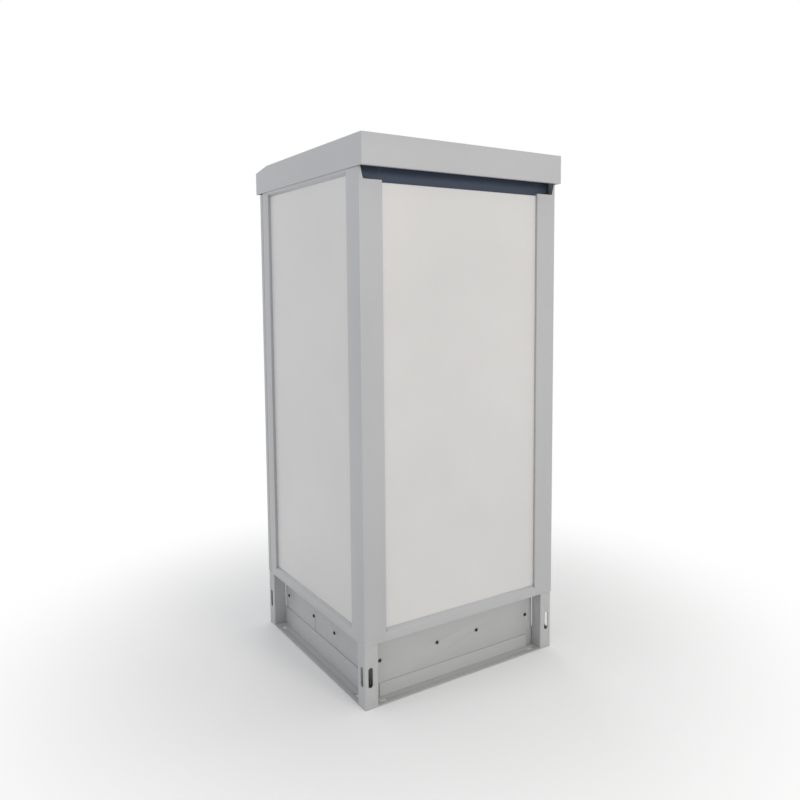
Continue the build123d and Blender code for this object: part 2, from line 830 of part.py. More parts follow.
def rack():
    """The four rails that equipment is screwed to."""
    rail = rack_rail()
    back = mirror(rail, about=Plane.XZ)
    return {
        "rack_rail_front_right": rail,
        "rack_rail_front_left": mirrored(rail),
        "rack_rail_rear_right": back,
        "rack_rail_rear_left": mirrored(back),
    }


# Electrics on the rear rails

def din_rail():
    """A top-hat rail across the rear rack rails."""
    back = rack_setback - rack_sheet
    front = back - din_depth
    half = rack_opening / 2 + rack_face / 2
    top = din_level + din_height / 2
    low = din_level - din_height / 2
    shoulder = din_lip + din_sheet
    rail = block(-half, half, back - din_sheet, back, low + din_lip, top - din_lip)
    rail += block(-half, half, front, back, top - shoulder, top - din_lip)
    rail += block(-half, half, front, back, low + din_lip, low + shoulder)
    rail += block(-half, half, front, front + din_sheet, top - shoulder, top)
    rail += block(-half, half, front, front + din_sheet, low, low + shoulder)
    return rail


def breaker_pivot(x):
    """The lever's pivot in the breaker's nose."""
    nose = rack_setback - rack_sheet - din_depth - breaker_depth
    return x, nose + lever_setback, din_level


def breaker_case(x):
    """A one-pole breaker's case, clipped on the rail."""
    back = rack_setback - rack_sheet - din_depth
    front = back - breaker_depth
    shoulder = front + breaker_nose_depth
    half = breaker_width / 2
    case = block(x - half, x + half, shoulder, back, din_level - breaker_height / 2,
                 din_level + breaker_height / 2)
    case += block(x - half, x + half, front, back, din_level - breaker_nose / 2,
                  din_level + breaker_nose / 2)
    pivot_x, pivot_y, pivot_z = breaker_pivot(x)
    gap = lever_thickness / 2 + lever_clearance
    case -= crossbar(lever_radius + lever_clearance, pivot_y, pivot_z, x - gap, x + gap)
    return case


def breaker_lever(x):
    """The lever: a drum with a finger bar, tipped up when the breaker is on."""
    pivot_x, pivot_y, pivot_z = breaker_pivot(x)
    half = lever_thickness / 2
    lever = crossbar(lever_radius, pivot_y, pivot_z, x - half, x + half)
    bar = block(-half, half, -lever_radius - lever_reach, 0, -lever_grip / 2, lever_grip / 2)
    lever += Pos(pivot_x, pivot_y, pivot_z) * Rot(-lever_angle, 0, 0) * bar
    return lever


def earth_bar():
    """A copper bar across the rear rack rails, with its studs."""
    back = rack_setback - rack_sheet
    half = rack_opening / 2 + rack_face / 2
    bar = block(-half, half, back - earth_sheet, back, earth_level, earth_level + earth_height)
    first = -(earth_stud_count - 1) * earth_stud_pitch / 2
    z = earth_level + earth_height / 2
    for i in range(earth_stud_count):
        x = first + i * earth_stud_pitch
        front = back - earth_sheet
        bar += rod_between(earth_stud_radius, x, z, front - earth_stud_length, front)
        nut = Pos(x, front, z) * Rot(90, 0, 0)
        bar += nut * extrude(RegularPolygon(earth_nut_radius, 6), earth_nut_height)
    return bar


def electrics():
    """DIN rail, two breakers and the earth bar."""
    left = -breaker_spacing / 2
    right = breaker_spacing / 2
    return {
        "din_rail": din_rail(),
        "breaker_case_left": breaker_case(left),
        "breaker_case_right": breaker_case(right),
        "breaker_lever_left": breaker_lever(left),
        "breaker_lever_right": breaker_lever(right),
        "earth_bar": earth_bar(),
    }


# Door

def door_window():
    """Half width, bottom and top of the window in the door."""
    return door_half_width - door_stile, door_bottom + door_rail, door_top - door_rail


def door_frame():
    """The door: one pan with its edges folded back, and its window."""
    pan = block(-door_half_width, door_half_width, -half_depth, -half_depth + door_flange,
                door_bottom, door_top)
    pan = fillet(pan.edges().group_by(Axis.Y)[0], fold_radius)
    pan -= block(-door_half_width + wall_sheet, door_half_width - wall_sheet, door_skin_inner,
                 -half_depth + door_flange + 1, door_bottom + wall_sheet, door_top - wall_sheet)
    half, low, high = door_window()
    pan -= block(-half, half, -half_depth - 1, door_skin_inner + 1, low, high)
    edges = window_edge(2 * half, low, high, wall_sheet, panel_recess, mitre_relief)
    pan += Pos(0, -half_depth, 0) * edges
    hole = cylinder_radius + 4
    pan -= rod_between(hole, lock_x, lock_level, -half_depth - 1, door_skin_inner + 1)
    return pan


def louvre_places():
    """Left ends and levels of the louvres."""
    half, low, high = door_window()
    places = []
    for row in range(louvre_rows):
        z = low + louvre_lift + row * louvre_pitch
        places.append((-louvre_middle_gap / 2 - louvre_length, z))
        places.append((louvre_middle_gap / 2, z))
    return places


def door_infill():
    """The lighter panel in the door, with two columns of hooded louvres."""
    half, low, high = door_window()
    face = -half_depth + panel_recess
    overlap = panel_overlap - 1
    width = 2 * (half + overlap)
    panel = Pos(0, -half_depth, 0) * tray(width, low - overlap, high + overlap, panel_recess,
                                          panel_sheet, panel_flange)
    rise = louvre_slot + louvre_sheet
    hood = [(face, louvre_slot + louvre_sheet), (face - louvre_hood, 0),
            (face - louvre_hood, -louvre_sheet), (face - louvre_hood + louvre_sheet, -louvre_sheet),
            (face, rise - louvre_sheet * 2), (face + panel_sheet, rise - louvre_sheet * 2),
            (face + panel_sheet, rise)]
    cheek = [(face, rise), (face - louvre_hood, 0), (face - louvre_hood, -louvre_sheet), (face, 0)]
    hood_shape = plate_outline(hood, Plane.YZ, louvre_length)
    cheek_shape = plate_outline(cheek, Plane.YZ, louvre_sheet)
    cuts = []
    hoods = []
    for x, z in louvre_places():
        cuts.append(block(x + louvre_sheet, x + louvre_length - louvre_sheet, face - 1,
                          face + panel_sheet + 1, z, z + louvre_slot - louvre_sheet))
        hoods.append(Pos(x, 0, z) * hood_shape)
        hoods.append(Pos(x, 0, z) * cheek_shape)
        hoods.append(Pos(x + louvre_length - louvre_sheet, 0, z) * cheek_shape)
    return panel - cuts + hoods


def filter_mat():
    """The filter mat behind the louvres."""
    places = louvre_places()
    half = louvre_middle_gap / 2 + louvre_length + filter_margin
    low = places[0][1] - filter_margin
    high = places[-1][1] + filter_margin
    back = -half_depth + panel_recess + panel_sheet
    return block(-half, half, back, back + filter_thickness, low, high)


def door_gasket():
    """The foam gasket round the door's inner face, opposite the frame's lip."""
    middle_x = (jamb_inner + jamb_outer) / 2
    low = sill_top - wall_sheet / 2
    high = header_bottom + wall_sheet / 2
    half = gasket_width / 2
    back = lip_tip - gasket_clearance
    ring = block(-middle_x - half, middle_x + half, door_skin_inner, back, low - half, high + half)
    ring -= block(-middle_x + half, middle_x - half, door_skin_inner - 1, back + 1,
                  low + half, high - half)
    return ring


def hinges():
    """Three lift-off hinges on the left edge: frame leaves, door leaves and pins."""
    axis_x = -half_width - hinge_offset
    axis_y = -half_depth - hinge_offset
    frame_leaves = Part()
    door_leaves = Part()
    pins = Part()
    for level in hinge_levels:
        low = level - knuckle_height
        door_low = level + knuckle_gap
        high = level + knuckle_height
        lower = upright(knuckle_radius, axis_x, axis_y, low, level)
        lower += block(-half_width - hinge_leaf, -half_width, axis_y, jamb_front + frame_leaf_length,
                       low, level)
        lower -= upright(hinge_pin_radius, axis_x, axis_y, low - 1, level + 1)
        upper = upright(knuckle_radius, axis_x, axis_y, door_low, high)
        upper += block(axis_x, -half_width + door_leaf_length, -half_depth - hinge_leaf,
                       -half_depth, door_low, high)
        upper -= upright(hinge_pin_radius + hinge_pin_clearance, axis_x, axis_y, level - 1, high + 1)
        frame_leaves += lower
        door_leaves += upper
        pins += upright(hinge_pin_radius, axis_x, axis_y, low, high - knuckle_gap)
    return {"hinge_frame_leaves": frame_leaves, "hinge_door_leaves": door_leaves,
            "hinge_pins": pins}


def lock_base():
    """The lock's base on the door: a long plate and a head that holds cylinder and grip."""
    half = lock_base_width / 2
    plate = block(lock_x - half, lock_x + half, lock_skin - lock_plate, lock_skin,
                  lock_base_bottom, lock_base_top)
    plate = fillet(plate.edges().filter_by(Axis.Y), half / 2)
    head = block(lock_x - half, lock_x + half, lock_skin - lock_head_depth, lock_skin,
                 lock_head_bottom, lock_base_top)
    head = fillet(head.edges().filter_by(Axis.Y), half / 2)
    head = fillet(head.edges().group_by(Axis.Y)[0], fold_radius)
    base = plate + head
    slot = grip_width / 2 + grip_side_gap
    pivot_y = lock_skin - grip_pivot_reach
    slot_top = grip_pivot_level + grip_thickness
    base -= block(lock_x - slot, lock_x + slot, lock_skin - lock_head_depth - 1,
                  lock_skin - lock_plate, lock_head_bottom - 1, slot_top)
    base -= crossbar(grip_pin_radius, pivot_y, grip_pivot_level, lock_x - half - 1, lock_x + half + 1)
    base -= rod_between(cylinder_radius + cylinder_clearance, lock_x, lock_level,
                        lock_skin - lock_head_depth - 1, lock_skin + 1)
    return base


def pull_grip():
    """The grip: a bar bent outwards that hangs from its pin."""
    pivot = lock_skin - grip_pivot_reach
    out = lock_skin - grip_reach
    half = grip_thickness / 2
    knee = grip_pivot_level - grip_knee_drop
    path = FilletPolyline((pivot, grip_pivot_level), (out, knee), (out, grip_bottom),
                          radius=grip_bend)
    outline = make_face(offset(path, half).edges())
    bar = extrude(Plane.YZ * outline, grip_width / 2, both=True)
    bar = fillet(bar.faces().sort_by(Axis.X)[-1].edges(), grip_edge_radius)
    bar = fillet(bar.faces().sort_by(Axis.X)[0].edges(), grip_edge_radius)
    bar = Pos(lock_x, 0, 0) * bar
    hole = grip_pin_radius + grip_pin_clearance
    return bar - crossbar(hole, pivot, grip_pivot_level, lock_x - grip_width, lock_x + grip_width)


def grip_pin():
    """The pin through the head and the grip."""
    half = lock_base_width / 2
    return crossbar(grip_pin_radius, lock_skin - grip_pivot_reach, grip_pivot_level,
                    lock_x - half, lock_x + half)


def lock_cylinder():
    """The key cylinder, with its key slot in front and the square tail that turns the cam."""
    front = lock_skin - lock_head_depth - cylinder_proud
    cam_back = rod_front - cam_gap
    cam_front = cam_back - cam_sheet
    body = rod_between(cylinder_radius, lock_x, lock_level, front, cam_front)
    body = chamfer(body.edges().group_by(Axis.Y)[0], 0.8)
    body -= block(lock_x - key_slot_width / 2, lock_x + key_slot_width / 2, front - 1,
                  front + key_slot_depth, lock_level - key_slot_length / 2,
                  lock_level + key_slot_length / 2)
    half = tail_size / 2
    return body + block(lock_x - half, lock_x + half, cam_front, cam_back, lock_level - half,
                        lock_level + half)


def lock_case():
    """The bearing block between the door's skin and the cam."""
    half = lock_case_width / 2
    back = rod_front - cam_gap - cam_sheet - case_gap
    case = block(lock_x - half, lock_x + half, door_skin_inner, back,
                 lock_level - lock_case_height / 2, lock_level + lock_case_height / 2)
    return case - rod_between(cylinder_radius + cylinder_clearance, lock_x, lock_level,
                              door_skin_inner - 1, back + 1)


def cam_pin_place(side):
    """Where a cam pin stands at rest, from the cylinder's axis."""
    shift = cam_throw_radius * math.cos(math.radians(cam_start_angle))
    return side * shift, -side * shift


def lock_cam():
    """The cam disc on the cylinder's tail, with a pin for each rod."""
    back = rod_front - cam_gap
    disc = rod_between(cam_radius, lock_x, lock_level, back - cam_sheet, back)
    half = tail_size / 2
    disc -= block(lock_x - half, lock_x + half, back - cam_sheet - 1, back + 1,
                  lock_level - half, lock_level + half)
    for side in (-1, 1):
        dx, dz = cam_pin_place(side)
        disc += rod_between(cam_pin_radius, lock_x + dx, lock_level + dz, back - 1, rod_back + 0.8)
    return disc


def locking_rod(side):
    """A flat rod with the crosswise slot for its cam pin; side 1 runs up and -1 runs down."""
    dx, dz = cam_pin_place(side)
    inner = lock_x + side * rod_gap / 2
    outer = inner + side * rod_width
    root = lock_level + dz - side * (cam_pin_radius + rod_thickness + 1)
    if side > 0:
        tip = header_bottom - rod_tip_gap
    else:
        tip = sill_top + rod_tip_gap
    rod = block(inner, outer, rod_front, rod_back, root, tip)
    near = abs(dx) - cam_pin_radius - slot_side_gap
    far = cam_throw_radius + cam_pin_radius + slot_side_gap
    level = cam_pin_radius + slot_level_gap
    rod -= block(lock_x + side * near, lock_x + side * far, rod_front - 1, rod_back + 1,
                 lock_level + dz - level, lock_level + dz + level)
    return rod


def rod_guides():
    """Moulded guides on the door's inner face that hold the rods."""
    group = Part()
    reach = rod_gap / 2 + rod_width + guide_clearance
    for level in guide_levels:
        side = 1 if level > lock_level else -1
        inner = lock_x + side * (rod_gap / 2 - guide_clearance - guide_wall)
        outer = lock_x + side * (reach + guide_wall)
        z0 = level - guide_height / 2
        z1 = level + guide_height / 2
        guide = block(inner, outer, door_skin_inner, rod_back + guide_wall, z0, z1)
        guide -= block(lock_x + side * (rod_gap / 2 - guide_clearance), lock_x + side * reach,
                       rod_front - guide_clearance, rod_back + guide_clearance, z0 - 1, z1 + 1)
        group += guide
    return group


def door():
    """The door with its hinges and its lock."""
    pieces = {
        "door_frame": door_frame(),
        "door_infill": door_infill(),
        "door_gasket": door_gasket(),
        "filter_mat": filter_mat(),
        "lock_base": lock_base(),
        "pull_grip": pull_grip(),
        "grip_pin": grip_pin(),
        "lock_cylinder": lock_cylinder(),
        "lock_case": lock_case(),
        "lock_cam": lock_cam(),
        "rod_upper": locking_rod(1),
        "rod_lower": locking_rod(-1),
        "rod_guides": rod_guides(),
    }
    pieces.update(hinges())
    return pieces


def cabinet():
    """Every piece by its name."""
    pieces = {"roof_hood": roof_hood(), "roof_brackets": roof_brackets()}
    for group in (plinth(), shell(), cable_entry(), ventilation(), rack(), electrics(), door()):
        pieces.update(group)
    return pieces


def main():
    os.makedirs("parts", exist_ok=True)
    for name, shape in cabinet().items():
        export_step(shape, f"parts/{name}.step")


if __name__ == "__main__":
    main()
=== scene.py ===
import json
import math

import bpy
from mathutils import Matrix, Quaternion, Vector

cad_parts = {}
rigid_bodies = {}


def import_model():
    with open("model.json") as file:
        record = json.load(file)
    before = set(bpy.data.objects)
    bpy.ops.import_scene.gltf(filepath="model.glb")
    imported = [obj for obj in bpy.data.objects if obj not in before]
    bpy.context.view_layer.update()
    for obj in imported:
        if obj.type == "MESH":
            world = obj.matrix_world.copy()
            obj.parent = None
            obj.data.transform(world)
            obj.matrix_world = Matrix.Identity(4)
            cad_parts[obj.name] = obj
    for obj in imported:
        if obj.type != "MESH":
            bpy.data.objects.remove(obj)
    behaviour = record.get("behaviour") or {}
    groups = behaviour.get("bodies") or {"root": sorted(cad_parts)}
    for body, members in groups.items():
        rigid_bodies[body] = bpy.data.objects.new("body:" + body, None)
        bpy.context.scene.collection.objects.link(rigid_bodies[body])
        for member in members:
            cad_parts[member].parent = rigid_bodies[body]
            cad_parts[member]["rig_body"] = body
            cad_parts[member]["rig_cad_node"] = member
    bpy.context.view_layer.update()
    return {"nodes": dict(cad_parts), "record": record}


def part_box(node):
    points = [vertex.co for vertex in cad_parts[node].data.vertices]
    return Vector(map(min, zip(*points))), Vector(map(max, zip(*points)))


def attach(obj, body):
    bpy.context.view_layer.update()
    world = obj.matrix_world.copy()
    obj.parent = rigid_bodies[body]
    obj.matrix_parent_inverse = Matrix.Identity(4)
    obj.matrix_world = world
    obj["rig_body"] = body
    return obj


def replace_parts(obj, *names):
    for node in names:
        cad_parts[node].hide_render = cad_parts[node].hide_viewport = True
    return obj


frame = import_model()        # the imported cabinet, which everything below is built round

bl_info = {
    "name": "Roadside Utility Cabinet",
    "version": (1, 0, 0),
    "blender": (4, 5, 0),
    "location": "3D View > Sidebar > Cabinet",
    "description": "Finishes, softened sheet edges, small fittings and the stage of a roadside cabinet",
    "category": "Object",
}

MM = 0.001
NODES = frame["nodes"]
BODIES = frame["record"]["behaviour"]["bodies"]
BODY_OF_NODE = {name: body for body, names in BODIES.items() for name in names}
SLOT_OF_NODE = {row["node"]: row["material_slot"] for row in frame["record"]["subparts"]}


# Colours and materials

ROAD_DUST = "#8F8A80"
FLOOR_COLOUR = "#F6F6F6"
WHITE = (1.0, 1.0, 1.0, 1.0)


def linear(hex_colour):
    """An sRGB hex colour as the linear red, green and blue that Blender's sockets take."""
    channels = [int(hex_colour[i:i + 2], 16) / 255 for i in (1, 3, 5)]
    return tuple(c / 12.92 if c <= 0.04045 else ((c + 0.055) / 1.055) ** 2.4 for c in channels)


def add_node(tree, kind, settings=None, values=None, links=None):
    """Adds one node with its settings, its sockets' values and the outputs linked to its sockets."""
    made = tree.nodes.new(kind)
    for key, value in (settings or {}).items():
        setattr(made, key, value)
    for key, value in (values or {}).items():
        made.inputs[key].default_value = value
    for key, source in (links or {}).items():
        tree.links.new(source, made.inputs[key])
    return made


def new_material(name, roughness, metallic=0.0, colour=None, **sockets):
    """An empty material: its tree, its shader and the object coordinates that patterns read."""
    material = bpy.data.materials.new(name)
    material.use_nodes = True
    tree = material.node_tree
    shader = tree.nodes["Principled BSDF"]
    shader.inputs["Roughness"].default_value = roughness
    shader.inputs["Metallic"].default_value = metallic
    if colour is not None:
        shader.inputs["Base Color"].default_value = (*colour, 1.0)
    for key, value in sockets.items():
        shader.inputs[key.replace("_", " ")].default_value = value
    place = add_node(tree, "ShaderNodeTexCoord").outputs["Object"]
    return material, tree, shader, place


def per_mm(size):
    """The scale of a pattern whose cells are this many millimetres across."""
    return 1.0 / (size * MM)


def scaled(colour, factor):
    """A colour made lighter or darker, as a socket value."""
    return (*[min(1.0, c * factor) for c in colour], 1.0)


def powder_coat(name, colour, gloss):
    """Polyester powder coat on galvanised sheet, baked: an even satin skin with a faint orange peel.

    The eye gets a soft broad highlight, hardly any colour change across a panel, thin pale runs
    below the roof where rain dries, and a film of road dust that thickens towards the ground.
    """
    material, tree, shader, place = new_material(name, gloss)
    cloud = add_node(tree, "ShaderNodeTexNoise", values={"Scale": 2.2, "Detail": 4.0, "Roughness": 0.55},
                     links={"Vector": place})
    tone = add_node(tree, "ShaderNodeValToRGB", links={"Fac": cloud.outputs["Fac"]})
    tone.color_ramp.elements[0].position = 0.35
    tone.color_ramp.elements[0].color = scaled(colour, 0.965)
    tone.color_ramp.elements[1].position = 0.68
    tone.color_ramp.elements[1].color = scaled(colour, 1.02)
    stretched = add_node(tree, "ShaderNodeMapping", values={"Scale": (34.0, 34.0, 0.9)},
                         links={"Vector": place})
    runs = add_node(tree, "ShaderNodeTexNoise", values={"Scale": 1.0, "Detail": 3.0, "Roughness": 0.6},
                    links={"Vector": stretched.outputs["Vector"]})
    run_mask = add_node(tree, "ShaderNodeMapRange",
                        values={"From Min": 0.58, "From Max": 0.82, "To Min": 0.0, "To Max": 0.06},
                        links={"Value": runs.outputs["Fac"]})
    washed = add_node(tree, "ShaderNodeMix", {"data_type": "RGBA"},
                      links={"Factor": run_mask.outputs["Result"], "A": tone.outputs["Color"]})
    washed.inputs["B"].default_value = scaled(colour, 1.16)
    height = add_node(tree, "ShaderNodeSeparateXYZ", links={"Vector": place}).outputs["Z"]
    low = add_node(tree, "ShaderNodeMapRange",
                   values={"From Min": 0.0, "From Max": 0.45, "To Min": 0.12, "To Max": 0.0},
                   links={"Value": height})
    specks = add_node(tree, "ShaderNodeTexNoise", values={"Scale": 60.0, "Detail": 6.0, "Roughness": 0.7},
                      links={"Vector": place})
    dust = add_node(tree, "ShaderNodeMath", {"operation": "MULTIPLY"},
                    links={0: low.outputs["Result"], 1: specks.outputs["Fac"]})
    dusty = add_node(tree, "ShaderNodeMix", {"data_type": "RGBA"},
                     links={"Factor": dust.outputs["Value"], "A": washed.outputs[2]})
    dusty.inputs["B"].default_value = (*linear(ROAD_DUST), 1.0)
    tree.links.new(dusty.outputs[2], shader.inputs["Base Color"])
    dull = add_node(tree, "ShaderNodeMath", {"operation": "MULTIPLY_ADD"},
                    values={1: 0.10, 2: gloss - 0.05}, links={0: cloud.outputs["Fac"]})
    tree.links.new(dull.outputs["Value"], shader.inputs["Roughness"])
    # Real orange peel is about 1.5 mm across; it is drawn at 5 mm so that it shows at all
    peel = add_node(tree, "ShaderNodeTexNoise", values={"Scale": per_mm(5.0), "Detail": 2.0},
                    links={"Vector": place})
    # Thin sheet is never quite flat: its waves are some 290 mm long
    waves = add_node(tree, "ShaderNodeTexNoise", values={"Scale": 3.5, "Detail": 1.0},
                     links={"Vector": place})
    flat = add_node(tree, "ShaderNodeBump", values={"Strength": 0.25, "Distance": 2.0 * MM},
                    links={"Height": waves.outputs["Fac"]})
    skin = add_node(tree, "ShaderNodeBump", values={"Strength": 0.12, "Distance": 0.2 * MM},
                    links={"Height": peel.outputs["Fac"], "Normal": flat.outputs["Normal"]})
    tree.links.new(skin.outputs["Normal"], shader.inputs["Normal"])
    return material


def galvanised_sheet(name, colour):
    """Hot-dip galvanised sheet: a bright grey with leaf-like zinc crystals some 12 mm across."""
    material, tree, shader, place = new_material(name, 0.42, 0.85)
    cells = add_node(tree, "ShaderNodeTexVoronoi", values={"Scale": per_mm(12.5)}, links={"Vector": place})
    grey = add_node(tree, "ShaderNodeSeparateColor", links={"Color": cells.outputs["Color"]})
    tone = add_node(tree, "ShaderNodeValToRGB", links={"Fac": grey.outputs[0]})
    tone.color_ramp.elements[0].color = scaled(colour, 0.82)
    tone.color_ramp.elements[1].color = scaled(colour, 1.12)
    tree.links.new(tone.outputs["Color"], shader.inputs["Base Color"])
    rough = add_node(tree, "ShaderNodeMapRange", values={"To Min": 0.34, "To Max": 0.52},
                     links={"Value": grey.outputs[1]})
    tree.links.new(rough.outputs["Result"], shader.inputs["Roughness"])
    return material


def moulded_plastic(name, colour, roughness, grain):
    """Injection-moulded plastic with the fine spark-eroded grain of its tool, in millimetres."""
    material, tree, shader, place = new_material(name, roughness, colour=colour)
    cells = add_node(tree, "ShaderNodeTexVoronoi", values={"Scale": per_mm(grain)}, links={"Vector": place})
    bump = add_node(tree, "ShaderNodeBump", values={"Strength": 0.35, "Distance": 0.15 * MM},
                    links={"Height": cells.outputs["Distance"]})
    tree.links.new(bump.outputs["Normal"], shader.inputs["Normal"])
    film = add_node(tree, "ShaderNodeTexNoise", values={"Scale": per_mm(40.0), "Detail": 5.0},
                    links={"Vector": place})
    rough = add_node(tree, "ShaderNodeMapRange",
                     values={"To Min": roughness - 0.08, "To Max": roughness + 0.12},
                     links={"Value": film.outputs["Fac"]})
    tree.links.new(rough.outputs["Result"], shader.inputs["Roughness"])
    return material


def cast_metal(name, colour, roughness, metallic):
    """Die-cast zinc or cold-headed steel: slightly uneven gloss with a fine cast grain."""
    material, tree, shader, place = new_material(name, roughness, metallic)
    film = add_node(tree, "ShaderNodeTexNoise", values={"Scale": 90.0, "Detail": 6.0},
                    links={"Vector": place})
    tone = add_node(tree, "ShaderNodeValToRGB", links={"Fac": film.outputs["Fac"]})
    tone.color_ramp.elements[0].position = 0.3
    tone.color_ramp.elements[0].color = scaled(colour, 0.8)
    tone.color_ramp.elements[1].position = 0.75
    tone.color_ramp.elements[1].color = scaled(colour, 1.15)
    tree.links.new(tone.outputs["Color"], shader.inputs["Base Color"])
    rough = add_node(tree, "ShaderNodeMapRange",
                     values={"To Min": roughness - 0.08, "To Max": roughness + 0.1},
                     links={"Value": film.outputs["Fac"]})
    tree.links.new(rough.outputs["Result"], shader.inputs["Roughness"])
    bump = add_node(tree, "ShaderNodeBump", values={"Strength": 0.2, "Distance": 0.1 * MM},
                    links={"Height": film.outputs["Fac"]})
    tree.links.new(bump.outputs["Normal"], shader.inputs["Normal"])
    return material


def foam_rubber(name, colour):
    """Closed-cell foam strip: dull black with a skin of tiny burst cells."""
    material, tree, shader, place = new_material(name, 0.85, colour=colour)
    # Cells of about 1.4 mm
    cells = add_node(tree, "ShaderNodeTexVoronoi", values={"Scale": 700.0}, links={"Vector": place})
    bump = add_node(tree, "ShaderNodeBump", values={"Strength": 0.6, "Distance": 0.5 * MM},
                    links={"Height": cells.outputs["Distance"]})
    tree.links.new(bump.outputs["Normal"], shader.inputs["Normal"])
    return material


def filter_fibre(name, colour):
    """Bonded polyester fibre mat: pale tangled threads, with painted shade greying the hollows between them.
    """
    material, tree, shader, place = new_material(name, 0.95)
    tangle = add_node(tree, "ShaderNodeTexNoise",
                      values={"Scale": per_mm(6.25), "Detail": 8.0, "Roughness": 0.75, "Distortion": 1.4},
                      links={"Vector": place})
    # Painted shade: the ramp darkens the low parts of the tangle, the hollows that the bump below sinks
    tone = add_node(tree, "ShaderNodeValToRGB", links={"Fac": tangle.outputs["Fac"]})
    tone.color_ramp.elements[0].position = 0.32
    tone.color_ramp.elements[0].color = scaled(colour, 0.55)
    tone.color_ramp.elements[1].position = 0.66
    tone.color_ramp.elements[1].color = scaled(colour, 1.1)
    tree.links.new(tone.outputs["Color"], shader.inputs["Base Color"])
    bump = add_node(tree, "ShaderNodeBump", values={"Strength": 0.9, "Distance": 2.0 * MM},
                    links={"Height": tangle.outputs["Fac"]})
    tree.links.new(bump.outputs["Normal"], shader.inputs["Normal"])
    return material


def rolled_copper(name, colour):
    """Bare rolled copper bar: warm metal with draw lines along it and brown tarnish in patches."""
    material, tree, shader, place = new_material(name, 0.32, 1.0)
    patches = add_node(tree, "ShaderNodeTexNoise", values={"Scale": 30.0, "Detail": 6.0},
                       links={"Vector": place})
    tone = add_node(tree, "ShaderNodeValToRGB", links={"Fac": patches.outputs["Fac"]})
    tone.color_ramp.elements[0].position = 0.35
    tone.color_ramp.elements[0].color = scaled(colour, 0.78)
    tone.color_ramp.elements[1].position = 0.7
    tone.color_ramp.elements[1].color = scaled(colour, 1.1)
    tree.links.new(tone.outputs["Color"], shader.inputs["Base Color"])
    # Draw lines run along the bar, about 1 mm apart
    lines = add_node(tree, "ShaderNodeMapping", values={"Scale": (4.0, 900.0, 900.0)},
                     links={"Vector": place})
    draw = add_node(tree, "ShaderNodeTexNoise", values={"Scale": 1.0, "Detail": 2.0},
                    links={"Vector": lines.outputs["Vector"]})
    rough = add_node(tree, "ShaderNodeMapRange", values={"To Min": 0.22, "To Max": 0.45},
                     links={"Value": draw.outputs["Fac"]})
    tree.links.new(rough.outputs["Result"], shader.inputs["Roughness"])
    return material


def colour_property(label, hex_colour, description):
    """A colour that a user may change."""
    return bpy.props.FloatVectorProperty(name=label, description=description, subtype="COLOR", size=3,
                                         min=0.0, max=1.0, default=linear(hex_colour))


def length_property(label, description, usual, least, most):
    """A length that a user may change."""
    return bpy.props.FloatProperty(name=label, description=description, default=usual, min=least, max=most,
                                   unit="LENGTH")


class CabinetFinishes(bpy.types.PropertyGroup):
    """The cabinet's colours."""

    frame: colour_property("Frame coat", "#B5B6B8", "Powder coat on frames, door frame and rails")
    panel: colour_property("Panel coat", "#D2D1D0", "Powder coat on the lighter panels")
    # Painted shade: this dark blue-grey stands in for the deep shade under the roof's overhang, on a channel
    # and mesh of the frame's grey
    vent_painted_shade: colour_property("Vent painted shade", "#414D60", "Matt powder coat on the channel and mesh under the roof")
    roof: colour_property("Roof coat", "#B7B8BA", "Powder coat on the roof hood")
    plinth: colour_property("Plinth coat", "#B4B5B6", "Powder coat on the plinth")
    zinc: colour_property("Galvanised sheet", "#C6CACD", "Bare galvanised sheet inside")
    casting: colour_property("Lock casting", "#5C5E61", "Grey coated die castings")
    chrome: colour_property("Cylinder", "#D0CEC8", "Satin chromed cylinder and pins")
    bolt: colour_property("Bolts", "#3A3B3D", "Blackened bolts and nuts")
    black: colour_property("Black plastic", "#2A2B2D", "Grip, guides and fans")
    gland: colour_property("Gland plastic", "#9A9D9F", "Cable glands")
    breaker: colour_property("Breaker plastic", "#D9D9D4", "Breaker cases")
    lever: colour_property("Lever plastic", "#1C1D1F", "Breaker levers")
    foam: colour_property("Gasket foam", "#1A1A1B", "Door gasket")
    fibre: colour_property("Filter fibre", "#C9CBC6", "Filter mat")
    copper: colour_property("Copper", "#C48E6B", "Earth bar")


class CabinetSizes(bpy.types.PropertyGroup):
    """Sizes of what is added to the frame, and of the floor, in metres."""

    sheet_edge: length_property("Sheet edge", "Rounding of cut sheet edges under the coat", 0.5 * MM,
                                0.1 * MM, 2 * MM)
    casting_edge: length_property("Casting edge", "Rounding of cast and moulded edges", 1.0 * MM,
                                  0.1 * MM, 3 * MM)
    hem_radius: length_property("Hem radius", "Rounding of the roof's lower edge", 1.2 * MM,
                                0.1 * MM, 1.8 * MM)
    floor_size: length_property("Floor", "Side of the floor", 60.0, 5.0, 200.0)


